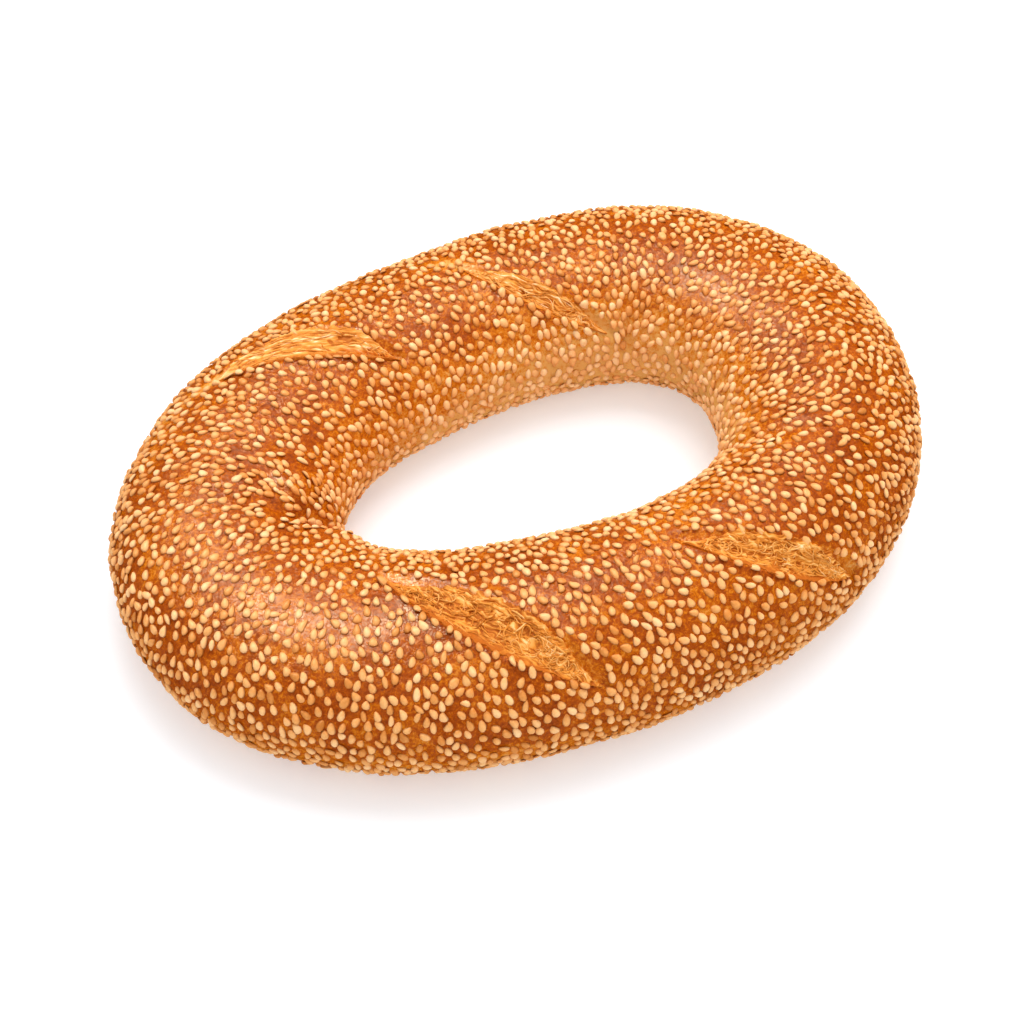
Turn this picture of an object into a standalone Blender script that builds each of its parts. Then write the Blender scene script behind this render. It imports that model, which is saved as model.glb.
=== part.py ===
"""A bagel toast: a long oval ring of sesame bread, baked whole and not cut.

The ring is one loaf.  Its centre line, its width and its height change
slowly on the way round, as in dough that was rolled out, joined and
stretched by hand.  Four slashes, the pinched joint of the dough, two
creases and a lump are relief in the crust, and sesame seeds are fused on.

The ring lies on its flat underside with its long axis along X.  Lengths
are in millimetres and angles in degrees; MM turns the result to metres.
"""

from math import pi
from typing import NamedTuple

import bmesh
import bpy
import numpy as np
from mathutils import Matrix, Vector

MM = 0.001
NODE = "bread_ring"

# The way round the ring is an angle: 0 at the +X end, 90 at the +Y side.
# A wave is (turns, cosine part, sine part); waves are added up.
CENTRE_X = ((1, 85.0, 0.0), (2, -2.7, -1.4), (3, 1.5, 1.7))
CENTRE_Y = ((1, 0.0, 60.8), (2, 1.7, 0.9), (3, 0.0, 2.7))
HALF_WIDTH = 28.6
HALF_WIDTH_WAVES = ((1, -1.4, 0.4), (2, 1.0, 0.7), (3, 0.5, 0.0))
HEIGHT = 39.5
HEIGHT_WAVES = ((1, 2.7, -2.2),)
HEIGHT_TO_RADIUS = 1.724     # loaf height over the upright radius of its oval
HEEL_ROUND = 1.6             # how softly the side turns into the underside
RELIEF_FADE = 6.0            # height over which the crust relief fades in


class Slash(NamedTuple):
    """A razor cut that opened in the oven: a lens with a lip on each side."""

    start: tuple    # (way round the ring, way up its side) in degrees
    end: tuple
    width: float
    bow: float      # sideways bend at the middle
    depth: float


class Crease(NamedTuple):
    """A fold in the dough that starts on the crest and ends in the hole."""

    start: tuple
    end: tuple
    width: float
    bow: float
    depth: float


class Lump(NamedTuple):
    """A soft hump, or a hollow where its height is negative."""

    centre: tuple
    radius: float
    height: float


# The way up the side is 0 outside, 90 on the crest and 180 in the hole.
SLASHES = (
    Slash((142, 53), (108, 126), 12.0, 3.6, 2.1),
    Slash((87, 78), (51, 160), 7.5, -3.6, 1.7),
    Slash((273, 99), (304, 8), 10.5, 1.5, 2.1),
    Slash((220, 114), (256, 26), 13.5, 5.2, 2.3),
)
SLASH_LIP = 0.45             # height of the raised edge
SLASH_LEAN = -0.25           # how far the deepest line leans to one lip
CREASES = (
    Crease((170, 96), (178, 212), 7.5, -3.0, 4.8),
    Crease((323, 80), (317, 188), 6.0, 6.0, 1.5),
    Crease((46, 105), (52, 186), 6.5, -0.8, 2.2),
)
LUMPS = (
    Lump((165, 134), 12.0, 2.6),
    Lump((197, 162), 15.0, 2.2),
    Lump((155, 165), 14.0, 0.8),
    Lump((330, 150), 16.0, -1.0),
)

# The mesh of the bare loaf, before and after it is thinned.
STEPS_ROUND = 640
STEPS_SIDE = 150
LOAF_TRIANGLES = 4400
FLAT_BELOW = 0.12            # heights under this are the flat underside

# Sesame seeds that are fused on: the largest ones, spread evenly.
SEED_COUNT = 190
SEED_LENGTH = 3.4
SEED_WIDTH = 2.2
SEED_THICKNESS = 1.7         # its lower half is in the crust
SEED_TAPER = 0.28            # how much slimmer the pointed end is
SEED_SINK = 0.05             # its centre lies this far below the crust
SEED_SIDES = 6
SEED_RINGS = 3
SEED_TURN_SPREAD = 70.0      # how far seeds turn from lying along the ring
SEED_LOWEST = 4.0            # no fused seed is lower than this
SEED_CLEAR_OF_SLASH = 1.15   # in half widths of the slash
SEED_RANDOM = 7


def wave(angle, table):
    """Sum of the waves in a table at an angle in radians."""
    total = np.zeros_like(angle)
    for turns, cosine, sine in table:
        total = total + cosine * np.cos(turns * angle) + sine * np.sin(turns * angle)
    return total


def wave_slope(angle, table):
    """Rate of change of the same sum with the angle."""
    total = np.zeros_like(angle)
    for turns, cosine, sine in table:
        total = total + turns * (sine * np.cos(turns * angle) - cosine * np.sin(turns * angle))
    return total


def loaf(around, up):
    """Smooth loaf: an oval carried along the centre line, flat underneath.

    The oval reaches half the width sideways and the height upwards.  What
    would lie below the table is laid flat, with a rounded heel.
    """
    slope_x = wave_slope(around, CENTRE_X)
    slope_y = wave_slope(around, CENTRE_Y)
    speed = np.hypot(slope_x, slope_y)
    half_width = HALF_WIDTH + wave(around, HALF_WIDTH_WAVES)
    height = HEIGHT + wave(around, HEIGHT_WAVES)
    radius = height / HEIGHT_TO_RADIUS
    out = half_width * np.cos(up)
    rise = height - radius + radius * np.sin(up)
    heel = np.maximum(HEEL_ROUND - np.abs(rise), 0.0) ** 2 / (4.0 * HEEL_ROUND)
    return np.stack(
        (
            wave(around, CENTRE_X) + out * slope_y / speed,
            wave(around, CENTRE_Y) - out * slope_x / speed,
            np.maximum(rise, 0.0) + heel,
        ),
        axis=-1,
    )


def tangents(around, up, step=0.002):
    """Change of the smooth loaf per radian round the ring and up its side."""
    along = loaf(around + step, up) - loaf(around - step, up)
    across = loaf(around, up + step) - loaf(around, up - step)
    return along / (2.0 * step), across / (2.0 * step)


def outward(around, up):
    """Unit normal of the smooth loaf, pointing out of the bread."""
    along, across = tangents(around, up)
    normal = np.cross(along, across)
    return normal / np.linalg.norm(normal, axis=-1, keepdims=True)


def unrolled(mark, around, up):
    """Place of crust points in a mark's own strip of unrolled crust.

    Angles become lengths by the stretch of the crust at the mark's middle.
    Returns the share of the way from start to end, and the distance to the
    side of the bowed line that joins them.
    """
    start = np.radians(mark.start)
    end = np.radians(mark.end)
    middle = (start + end) / 2.0
    along, across = tangents(middle[0], middle[1])
    stretch = np.array((np.linalg.norm(along), np.linalg.norm(across)))
    chord = (end - start) * stretch
    length = np.hypot(chord[0], chord[1])
    offset_round = (around - middle[0] + pi) % (2.0 * pi) - pi
    offset_up = (up - middle[1] + pi) % (2.0 * pi) - pi
    ahead = (offset_round * stretch[0] * chord[0] + offset_up * stretch[1] * chord[1]) / length
    aside = (offset_up * stretch[1] * chord[0] - offset_round * stretch[0] * chord[1]) / length
    share = ahead / length + 0.5
    bow = mark.bow * np.clip(4.0 * share * (1.0 - share), 0.0, 1.0)
    return share, aside - bow


def soft_step(share):
    """Rise from 0 to 1 with level ends as the share goes from 0 to 1."""
    share = np.clip(share, 0.0, 1.0)
    return share * share * (3.0 - 2.0 * share)


def slash_place(slash, around, up):
    """Opening of a slash: how wide it is here, and the place across it."""
    share, aside = unrolled(slash, around, up)
    opening = np.clip(4.0 * share * (1.0 - share), 0.0, 1.0) ** 0.75
    return opening, aside / (0.5 * slash.width * np.maximum(opening, 0.02))


def slash_relief(slash, around, up):
    """A leaning trough between two raised lips, shallow at both ends."""
    opening, place = slash_place(slash, around, up)
    leaning = place - SLASH_LEAN * (1.0 - place ** 2)
    trough = np.clip(1.0 - leaning ** 2, 0.0, 1.0) * (np.abs(place) < 1.0)
    lip = np.exp(-((np.abs(place) - 1.1) / 0.24) ** 2)
    return np.sqrt(opening) * (SLASH_LIP * lip - slash.depth * trough)


def crease_relief(crease, around, up):
    """A soft groove with a round bottom, fading in slowly and out faster."""
    share, aside = unrolled(crease, around, up)
    reach = soft_step(share / 0.55) * soft_step((1.0 - share) / 0.3)
    return -crease.depth * reach * np.exp(-(aside / (0.42 * crease.width)) ** 2)


def lump_relief(lump, around, up):
    """A round hump that fades with the distance from its middle."""
    middle = loaf(*np.radians(lump.centre))
    distance = np.linalg.norm(loaf(around, up) - middle, axis=-1)
    return lump.height * np.exp(-(distance / (0.6 * lump.radius)) ** 2)


def crust(around, up):
    """The loaf with its slashes, creases and lumps."""
    smooth = loaf(around, up)
    relief = np.zeros_like(smooth[..., 0])
    for slash in SLASHES:
        relief = relief + slash_relief(slash, around, up)
    for crease in CREASES:
        relief = relief + crease_relief(crease, around, up)
    for lump in LUMPS:
        relief = relief + lump_relief(lump, around, up)
    relief = relief * soft_step(smooth[..., 2] / RELIEF_FADE)
    return smooth + outward(around, up) * relief[..., None]


def loaf_object():
    """The loaf as a fine grid, thinned to its triangles by Decimate."""
    around = np.linspace(0.0, 2.0 * pi, STEPS_ROUND, endpoint=False)
    up = np.linspace(0.0, 2.0 * pi, STEPS_SIDE, endpoint=False)
    points = crust(*np.meshgrid(around, up, indexing="ij")) * MM
    here = np.arange(STEPS_ROUND * STEPS_SIDE).reshape(STEPS_ROUND, STEPS_SIDE)
    ahead = np.roll(here, -1, axis=0)
    quads = np.stack(
        (here, ahead, np.roll(ahead, -1, axis=1), np.roll(here, -1, axis=1)), axis=-1
    )
    mesh = bpy.data.meshes.new(NODE)
    mesh.from_pydata(points.reshape(-1, 3), [], quads.reshape(-1, 4).tolist())
    ring = bpy.data.objects.new(NODE, mesh)
    bpy.context.scene.collection.objects.link(ring)
    thin = ring.modifiers.new("Thin", 'DECIMATE')
    thin.ratio = LOAF_TRIANGLES / (2.0 * STEPS_ROUND * STEPS_SIDE)
    thin.use_collapse_triangulate = True
    apply_modifiers(ring)
    flatten_underside(ring.data)
    return ring


def flatten_underside(mesh):
    """Lay the lowest points of a mesh exactly on the table."""
    for vertex in mesh.vertices:
        if vertex.co.z < FLAT_BELOW * MM:
            vertex.co.z = 0.0


def apply_modifiers(target):
    """Replace an object's mesh by the mesh that its modifiers give."""
    graph = bpy.context.evaluated_depsgraph_get()
    graph.update()
    mesh = bpy.data.meshes.new_from_object(target.evaluated_get(graph))
    old = target.data
    target.modifiers.clear()
    target.data = mesh
    bpy.data.meshes.remove(old)
    mesh.name = NODE


def seed_places():
    """Even places for the fused seeds, as angles round and up the ring.

    Two additive sequences of irrational step fill the crust without
    clumps.  A place is kept with a chance in line with the crust's stretch
    there, so that seeds are as close inside the ring as outside it.
    """
    random = np.random.default_rng(SEED_RANDOM)
    plastic = 1.32471795724
    index = np.arange(1, 12 * SEED_COUNT)
    around = 2.0 * pi * ((index / plastic) % 1.0)
    up = 2.0 * pi * ((index / plastic ** 2) % 1.0)
    along, across = tangents(around, up)
    area = np.linalg.norm(np.cross(along, across), axis=-1)
    keep = random.random(len(index)) < area / area.max()
    keep &= crust(around, up)[:, 2] > SEED_LOWEST
    for slash in SLASHES:
        opening, place = slash_place(slash, around, up)
        keep &= (opening <= 0.0) | (np.abs(place) > SEED_CLEAR_OF_SLASH)
    places = spread_out(around[keep], up[keep])
    turn = np.radians(random.uniform(-SEED_TURN_SPREAD, SEED_TURN_SPREAD, len(places)))
    return around[keep][places], up[keep][places], turn


def spread_out(around, up):
    """Indices of the wanted number of places, none close to another.

    The gap starts wide and narrows until enough places fit.
    """
    points = crust(around, up)
    gap = 20.0
    while gap > SEED_LENGTH * 1.6:
        kept = []
        for index, point in enumerate(points):
            others = points[kept]
            if len(kept) == 0 or np.linalg.norm(others - point, axis=1).min() > gap:
                kept.append(index)
            if len(kept) == SEED_COUNT:
                return np.array(kept)
        gap *= 0.97
    return np.array(kept)


def seed_object(collection, place, normal, heading):
    """One seed: a ball with a flat top strip, stretched to a drop."""
    shape = bmesh.new()
    bmesh.ops.create_uvsphere(shape, u_segments=SEED_SIDES, v_segments=SEED_RINGS, radius=0.5)
    half_side = Matrix.Rotation(pi / SEED_SIDES, 4, 'Z')
    bmesh.ops.transform(shape, matrix=half_side, verts=shape.verts)
    for vertex in shape.verts:
        slim = 1.0 - SEED_TAPER * (vertex.co.z + 0.5)
        vertex.co.x *= SEED_THICKNESS * slim
        vertex.co.y *= SEED_WIDTH * slim
        vertex.co.z *= SEED_LENGTH
    side = heading.cross(normal).normalized()
    turn = Matrix((normal, -side, heading)).transposed().to_4x4()
    turn.translation = place
    bmesh.ops.scale(shape, vec=(MM, MM, MM), verts=shape.verts)
    bmesh.ops.transform(shape, matrix=turn, verts=shape.verts)
    bmesh.ops.recalc_face_normals(shape, faces=shape.faces)
    mesh = bpy.data.meshes.new("sesame_seed")
    shape.to_mesh(mesh)
    shape.free()
    seed = bpy.data.objects.new("sesame_seed", mesh)
    collection.objects.link(seed)


def seed_collection():
    """All the seeds that are fused to the loaf."""
    collection = bpy.data.collections.new("seeds")
    bpy.context.scene.collection.children.link(collection)
    around, up, turn = seed_places()
    points = crust(around, up)
    step = 0.01
    along = crust(around + step, up) - crust(around - step, up)
    across = crust(around, up + step) - crust(around, up - step)
    normals = np.cross(along, across)
    normals /= np.linalg.norm(normals, axis=1, keepdims=True)
    along /= np.linalg.norm(along, axis=1, keepdims=True)
    sideways = np.cross(normals, along)
    headings = along * np.cos(turn)[:, None] + sideways * np.sin(turn)[:, None]
    places = (points - normals * SEED_SINK) * MM
    for place, normal, heading in zip(places, normals, headings):
        seed_object(collection, Vector(place), Vector(normal), Vector(heading))
    return collection


def fuse(ring, collection):
    """Join the seeds to the loaf with one Boolean union, then drop them."""
    union = ring.modifiers.new("Fuse", 'BOOLEAN')
    union.operation = 'UNION'
    union.operand_type = 'COLLECTION'
    union.collection = collection
    union.solver = 'EXACT'
    apply_modifiers(ring)
    for seed in list(collection.objects):
        bpy.data.objects.remove(seed)
    bpy.data.collections.remove(collection)


def tidy_mesh(mesh):
    """Weld stray points, keep the one loaf and split faces to triangles."""
    shape = bmesh.new()
    shape.from_mesh(mesh)
    bmesh.ops.remove_doubles(shape, verts=shape.verts, dist=0.02 * MM)
    bmesh.ops.dissolve_degenerate(shape, edges=shape.edges, dist=0.02 * MM)
    bmesh.ops.triangulate(shape, faces=shape.faces)
    pieces = connected_pieces(shape)
    largest = max(pieces, key=len)
    scrap = [vertex for piece in pieces if piece is not largest for vertex in piece]
    bmesh.ops.delete(shape, geom=scrap, context='VERTS')
    shape.to_mesh(mesh)
    shape.free()


def connected_pieces(shape):
    """Lists of the vertices that hang together by edges."""
    waiting = set(shape.verts)
    pieces = []
    while waiting:
        piece = []
        front = [waiting.pop()]
        while front:
            vertex = front.pop()
            piece.append(vertex)
            for edge in vertex.link_edges:
                other = edge.other_vert(vertex)
                if other in waiting:
                    waiting.remove(other)
                    front.append(other)
        pieces.append(piece)
    return pieces


def centre_on_origin(mesh):
    """Put the origin under the middle of the ring, on its underside."""
    corners = np.array([vertex.co for vertex in mesh.vertices])
    low, high = corners.min(axis=0), corners.max(axis=0)
    middle = (low + high) / 2.0
    mesh.transform(Matrix.Translation((-middle[0], -middle[1], -low[2])))


def crust_material():
    """Baked sesame crust, deep golden brown with a faint shine."""
    material = bpy.data.materials.new("golden_crust")
    material.use_nodes = True
    shader = material.node_tree.nodes["Principled BSDF"]
    shader.inputs["Base Color"].default_value = (0.60, 0.235, 0.055, 1.0)
    shader.inputs["Roughness"].default_value = 0.5
    shader.inputs["Metallic"].default_value = 0.0
    material.diffuse_color = (0.60, 0.235, 0.055, 1.0)
    return material


def build():
    """Model the loaf, fuse its seeds and finish it."""
    for item in list(bpy.data.objects):
        bpy.data.objects.remove(item)
    ring = loaf_object()
    fuse(ring, seed_collection())
    tidy_mesh(ring.data)
    centre_on_origin(ring.data)
    ring.data.shade_smooth()
    ring.data.set_sharp_from_angle(angle=np.radians(38.0))
    ring.data.materials.clear()
    ring.data.materials.append(crust_material())


build()
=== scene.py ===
"""Looks of a bagel toast: a long oval ring of sesame bread, baked whole.

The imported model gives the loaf's box.  Around it this script makes the
baked crust with its slashes and creases, the torn crumb in the slashes
with its strands, and the sesame seeds.  Lengths are in millimetres and
angles in degrees until MM turns finished points to metres.
"""

import itertools
import logging
import math
from dataclasses import dataclass, field
from enum import Enum

import bpy
import numpy as np
from mathutils import Matrix, Vector


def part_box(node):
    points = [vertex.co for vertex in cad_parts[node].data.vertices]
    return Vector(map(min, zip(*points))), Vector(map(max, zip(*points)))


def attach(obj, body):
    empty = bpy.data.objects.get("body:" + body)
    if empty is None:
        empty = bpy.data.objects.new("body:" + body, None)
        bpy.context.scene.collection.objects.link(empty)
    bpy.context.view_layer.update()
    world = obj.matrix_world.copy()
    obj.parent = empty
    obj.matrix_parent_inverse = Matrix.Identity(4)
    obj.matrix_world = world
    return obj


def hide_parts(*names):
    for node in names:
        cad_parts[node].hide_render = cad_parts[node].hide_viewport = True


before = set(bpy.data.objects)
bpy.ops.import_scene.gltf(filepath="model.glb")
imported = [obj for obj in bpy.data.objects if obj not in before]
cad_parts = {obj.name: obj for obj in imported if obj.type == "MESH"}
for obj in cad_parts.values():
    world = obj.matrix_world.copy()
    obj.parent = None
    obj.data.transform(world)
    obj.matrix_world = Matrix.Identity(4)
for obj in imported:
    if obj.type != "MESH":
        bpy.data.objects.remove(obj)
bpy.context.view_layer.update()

LOG = logging.getLogger("bagel_toast")
MM = 0.001
TURN = 2.0 * math.pi
NODE = "bread_ring"
LATTICE = 512
NOISE_GAIN = 1.6  # brings the noise to about -1 to 1
Array = np.ndarray
Angles = tuple[float, float]
Waves = tuple[tuple[int, float, float], ...]
Noises = tuple[tuple[float, float, int], ...]
Stops = tuple[tuple[float, str], ...]
MATH = "ShaderNodeMath"
NOISE = "ShaderNodeTexNoise"
ATTRIBUTE = "ShaderNodeAttribute"
RAMP = "ShaderNodeValToRGB"
BUMP = "ShaderNodeBump"


# ---------------------------------------------------------------- helpers


def linear(hex_colour: str) -> tuple[float, float, float, float]:
    """Turn an sRGB hex colour into linear light.

    Args:
        hex_colour: six hex digits after a hash sign.

    Returns:
        Red, green, blue and alpha for a Blender colour socket.
    """
    parts = [int(hex_colour[place:place + 2], 16) / 255.0 for place in (1, 3, 5)]
    light = [c / 12.92 if c <= 0.04045 else ((c + 0.055) / 1.055) ** 2.4 for c in parts]
    return (light[0], light[1], light[2], 1.0)


def soft_step(share: Array) -> Array:
    """Rise from 0 to 1 with level ends: 3 s squared minus 2 s cubed."""
    share = np.clip(share, 0.0, 1.0)
    return share * share * (3.0 - 2.0 * share)


def hump(share: Array) -> Array:
    """Four s times one minus s: 0 at both ends and 1 in the middle."""
    return np.clip(4.0 * share * (1.0 - share), 0.0, 1.0)


def unit(ways: Array) -> Array:
    """Ways of length one, along the last axis."""
    return ways / np.linalg.norm(ways, axis=-1, keepdims=True)


def wrapped(angle: Array) -> Array:
    """An angle brought between minus half a turn and half a turn."""
    return (angle + math.pi) % TURN - math.pi


def gradient_noise(points: Array, cell: float, seed: int) -> Array:
    """Smooth noise in space, about -1 to 1.

    Each corner of a cubic lattice has a random direction.  The noise is the
    dot product of that direction with the way from the corner, blended
    between the eight corners by 6 t^5 - 15 t^4 + 10 t^3.

    Args:
        points: places, last axis of three, in millimetres.
        cell: lattice spacing in millimetres.
        seed: chooses the random directions.

    Returns:
        One number for each place.
    """
    random = np.random.default_rng(seed)
    directions = unit(random.normal(size=(LATTICE, 3)))
    shuffle = random.permutation(LATTICE)
    scaled = points / cell
    base = np.floor(scaled).astype(np.int64)
    part = scaled - base
    blend = part ** 3 * (part * (part * 6.0 - 15.0) + 10.0)
    total = np.zeros(points.shape[:-1])
    for corner in itertools.product((0, 1), repeat=3):
        key = shuffle[(base[..., 0] + corner[0]) % LATTICE]
        key = shuffle[(key + base[..., 1] + corner[1]) % LATTICE]
        key = shuffle[(key + base[..., 2] + corner[2]) % LATTICE]
        reach = part - np.array(corner)
        weight = np.prod(np.where(corner, blend, 1.0 - blend), axis=-1)
        total = total + weight * np.sum(directions[key] * reach, axis=-1)
    return NOISE_GAIN * total


def summed_noise(points: Array, noises: Noises, shift: int = 0) -> Array:
    """Sum of noises: rows of a height, a cell in millimetres and a seed to be shifted."""
    return sum(high * gradient_noise(points, cell, seed + shift) for high, cell, seed in noises)


def grid_quads(rows: int, columns: int, wrap_rows: bool, wrap_columns: bool) -> Array:
    """Quads between the points of a grid, numbered row by row.

    Args:
        rows: number of rows of points.
        columns: number of points in a row.
        wrap_rows: whether the last row joins the first.
        wrap_columns: whether the last point of a row joins the first.

    Returns:
        Corner numbers, one row of four for each quad.
    """
    here = np.arange(rows * columns).reshape(rows, columns)
    below = np.roll(here, -1, axis=0)
    quads = np.stack(
        (here, below, np.roll(below, -1, axis=1), np.roll(here, -1, axis=1)), axis=-1
    )
    if not wrap_rows:
        quads = quads[:-1]
    if not wrap_columns:
        quads = quads[:, :-1]
    return quads.reshape(-1, 4)


def mesh_piece(
    name: str,
    points: Array,
    faces: Array,
    material: bpy.types.Material,
    attributes: dict[str, Array] | None = None,
) -> bpy.types.Object:
    """Make a smooth mesh object at the origin from points and faces.

    Args:
        name: the piece's name.
        points: places in metres, shape (count, 3).
        faces: corner numbers, all with the same number of corners.
        material: the piece's finish.
        attributes: a number for each point, by attribute name.

    Returns:
        The new object, riding on the bread's body.
    """
    corners = faces.shape[1]
    mesh = bpy.data.meshes.new(name)
    mesh.vertices.add(len(points))
    mesh.vertices.foreach_set("co", np.ascontiguousarray(points, np.float32).ravel())
    mesh.loops.add(faces.size)
    mesh.loops.foreach_set("vertex_index", np.ascontiguousarray(faces, np.int32).ravel())
    mesh.polygons.add(len(faces))
    mesh.polygons.foreach_set("loop_start", np.arange(0, faces.size, corners, dtype=np.int32))
    mesh.update(calc_edges=True)
    mesh.validate()
    mesh.shade_smooth()
    for key, values in (attributes or {}).items():
        layer = mesh.attributes.new(key, 'FLOAT', 'POINT')
        layer.data.foreach_set("value", np.ascontiguousarray(values, np.float32).ravel())
    mesh.materials.append(material)
    piece = bpy.data.objects.new(name, mesh)
    bpy.context.scene.collection.objects.link(piece)
    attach(piece, "root")
    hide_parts(NODE)
    LOG.info("%s: %d points, %d faces", name, len(points), len(faces))
    return piece


# ------------------------------------------------------------- the form


@dataclass(frozen=True)
class Mark:
    """Something drawn in the dough from a start to an end.

    Angles are the way round the ring and the way up its side.
    """

    start: Angles
    end: Angles
    width: float
    bow: float
    depth: float


@dataclass(frozen=True)
class Slash(Mark):
    """A razor cut that opened in the oven, with torn crumb inside.

    Crumb is torn between two shares of the way; the rest only gapes.  The
    crumb narrows over the taper's two shares of its own length.  The trail
    is a pale streak before the start, as a share of the way.
    """

    name: str = "slash"
    strands: int = 500
    curl: float = 1.0
    crumb: tuple[float, float] = (0.015, 0.985)
    taper: tuple[float, float] = (0.12, 0.12)
    flap: float = 0.0
    pale_end: float = 0.0
    tone: float = 0.0
    trail: float = 0.0


@dataclass(frozen=True)
class Crease(Mark):
    """A fold in the dough that starts on the crest and ends in the hole."""


@dataclass(frozen=True)
class Lump:
    """A soft hump, or a hollow where its height is negative."""

    centre: Angles
    radius: float
    height: float


@dataclass(frozen=True)
class Pucker:
    """Dough gathered to a point, in small folds that fan out from it.

    The seeds there were pushed together: they stand on edge and point to
    the gathering point.
    """

    point: Angles
    middle: Angles
    radius: float
    folds: int
    height: float
    crowd: float
    on_edge: float


@dataclass(frozen=True)
class LoafShape:
    """Form of the bread ring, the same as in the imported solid.

    The way round is 0 at the +X end and 90 at the +Y side; the way up is 0
    outside, 90 on the crest and 180 in the hole.
    """

    centre_x: Waves = ((1, 85.0, 0.0), (2, -2.7, -1.4), (3, 1.5, 1.7))
    centre_y: Waves = ((1, 0.0, 60.8), (2, 1.7, 0.9), (3, 0.0, 2.7))
    half_width: float = 28.6
    half_width_waves: Waves = ((1, -1.4, 0.4), (2, 1.0, 0.7), (3, 0.5, 0.0))
    height: float = 39.5
    height_waves: Waves = ((1, 2.7, -2.2),)
    height_to_radius: float = 1.724
    heel_round: float = 1.6
    relief_fade: float = 6.0
    swells: Noises = ((0.55, 34.0, 3), (0.30, 11.0, 5))
    wrinkles: Noises = ((0.08, 4.5, 8), (0.05, 2.2, 9))
    slash_lip: float = 0.45
    slash_lip_place: float = 1.1
    slash_lip_spread: float = 0.24
    slash_lean: float = -0.25
    slash_reach: float = 1.6
    crease_fade: tuple[float, float] = (0.55, 0.3)
    pucker_core: float = 5.0
    slashes: tuple[Slash, ...] = (
        Slash(
            (142, 53), (108, 126), 12.0, 3.6, 2.1, "back_left", 110, 0.35,
            taper=(0.16, 0.3), flap=0.9, tone=0.05, trail=0.45
        ),
        Slash(
            (87, 78), (51, 160), 7.5, -3.6, 1.7, "back_middle", 130, 0.6,
            (0.015, 0.9), (0.3, 0.5), tone=0.05, trail=0.15
        ),
        Slash(
            (273, 99), (304, 8), 10.5, 1.5, 2.1, "front_right", 300, 1.0,
            (0.05, 0.93), (0.34, 0.34), tone=-0.08
        ),
        Slash(
            (220, 114), (256, 26), 13.5, 5.2, 2.3, "front_middle", 420, 0.9,
            taper=(0.42, 0.36), pale_end=0.15, tone=-0.16
        ),
    )
    creases: tuple[Crease, ...] = (
        Crease((170, 96), (178, 212), 7.5, -3.0, 4.8),
        Crease((323, 80), (317, 188), 6.0, 6.0, 1.5),
        Crease((46, 105), (52, 186), 6.5, -0.8, 2.2),
    )
    lumps: tuple[Lump, ...] = (
        Lump((165, 134), 12.0, 2.6),
        Lump((197, 162), 15.0, 2.2),
        Lump((155, 165), 14.0, 0.8),
        Lump((330, 150), 16.0, -1.0),
    )
    puckers: tuple[Pucker, ...] = (
        Pucker((177, 143), (169, 124), 13.0, 17, 0.45, 0.7, 0.7),
        Pucker((172, 178), (163, 163), 12.0, 13, 0.35, 0.3, 0.25),
        Pucker((51, 182), (52, 144), 13.0, 11, 0.35, 0.25, 0.25),
    )

    @staticmethod
    def wave(angle: Array, table: Waves) -> Array:
        """Sum of c cos(n a) + s sin(n a) over the rows of a table.

        Args:
            angle: angle in radians.
            table: rows of waves in a turn, cosine part and sine part.

        Returns:
            The sum at each angle.
        """
        total = np.zeros_like(angle)
        for turns, cosine, sine in table:
            total = total + cosine * np.cos(turns * angle) + sine * np.sin(turns * angle)
        return total

    @staticmethod
    def wave_slope(angle: Array, table: Waves) -> Array:
        """Rate of change of the same sum with the angle.

        Args:
            angle: angle in radians.
            table: rows of waves in a turn, cosine part and sine part.

        Returns:
            The slope at each angle.
        """
        total = np.zeros_like(angle)
        for turns, cosine, sine in table:
            change = sine * np.cos(turns * angle) - cosine * np.sin(turns * angle)
            total = total + turns * change
        return total

    def loaf(self, around: Array, up: Array) -> Array:
        """Smooth loaf: an oval carried along the centre line, flat below.

        The oval is half_width cos(up) outwards and radius sin(up) upwards
        from its middle.  What would lie below the table is laid flat, with
        a rounded heel of (heel - |rise|) squared over four heels.

        Args:
            around: way round the ring in radians.
            up: way up the side in radians.

        Returns:
            Places in millimetres, last axis of three.
        """
        slope_x = self.wave_slope(around, self.centre_x)
        slope_y = self.wave_slope(around, self.centre_y)
        speed = np.hypot(slope_x, slope_y)
        half_width = self.half_width + self.wave(around, self.half_width_waves)
        height = self.height + self.wave(around, self.height_waves)
        radius = height / self.height_to_radius
        out = half_width * np.cos(up)
        rise = height - radius + radius * np.sin(up)
        heel = np.maximum(self.heel_round - np.abs(rise), 0.0) ** 2 / (4.0 * self.heel_round)
        x = self.wave(around, self.centre_x) + out * slope_y / speed
        y = self.wave(around, self.centre_y) - out * slope_x / speed
        return np.stack((x, y, np.maximum(rise, 0.0) + heel), axis=-1)

    def away(self, place: Angles, points: Array) -> Array:
        """Millimetres from a place on the smooth loaf, in degrees, to points."""
        return np.linalg.norm(points - self.loaf(*np.radians(place)), axis=-1)

    def tangents(self, around: Array, up: Array, step: float = 0.002) -> tuple[Array, Array]:
        """Change of the smooth loaf per radian, round the ring and up.

        Args:
            around: way round the ring in radians.
            up: way up the side in radians.
            step: half the difference in radians.

        Returns:
            Both changes in millimetres, last axis of three.
        """
        along = self.loaf(around + step, up) - self.loaf(around - step, up)
        across = self.loaf(around, up + step) - self.loaf(around, up - step)
        return along / (2.0 * step), across / (2.0 * step)

    def outward(self, around: Array, up: Array) -> Array:
        """Unit normal of the smooth loaf, pointing out of the bread."""
        return unit(np.cross(*self.tangents(around, up)))

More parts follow.
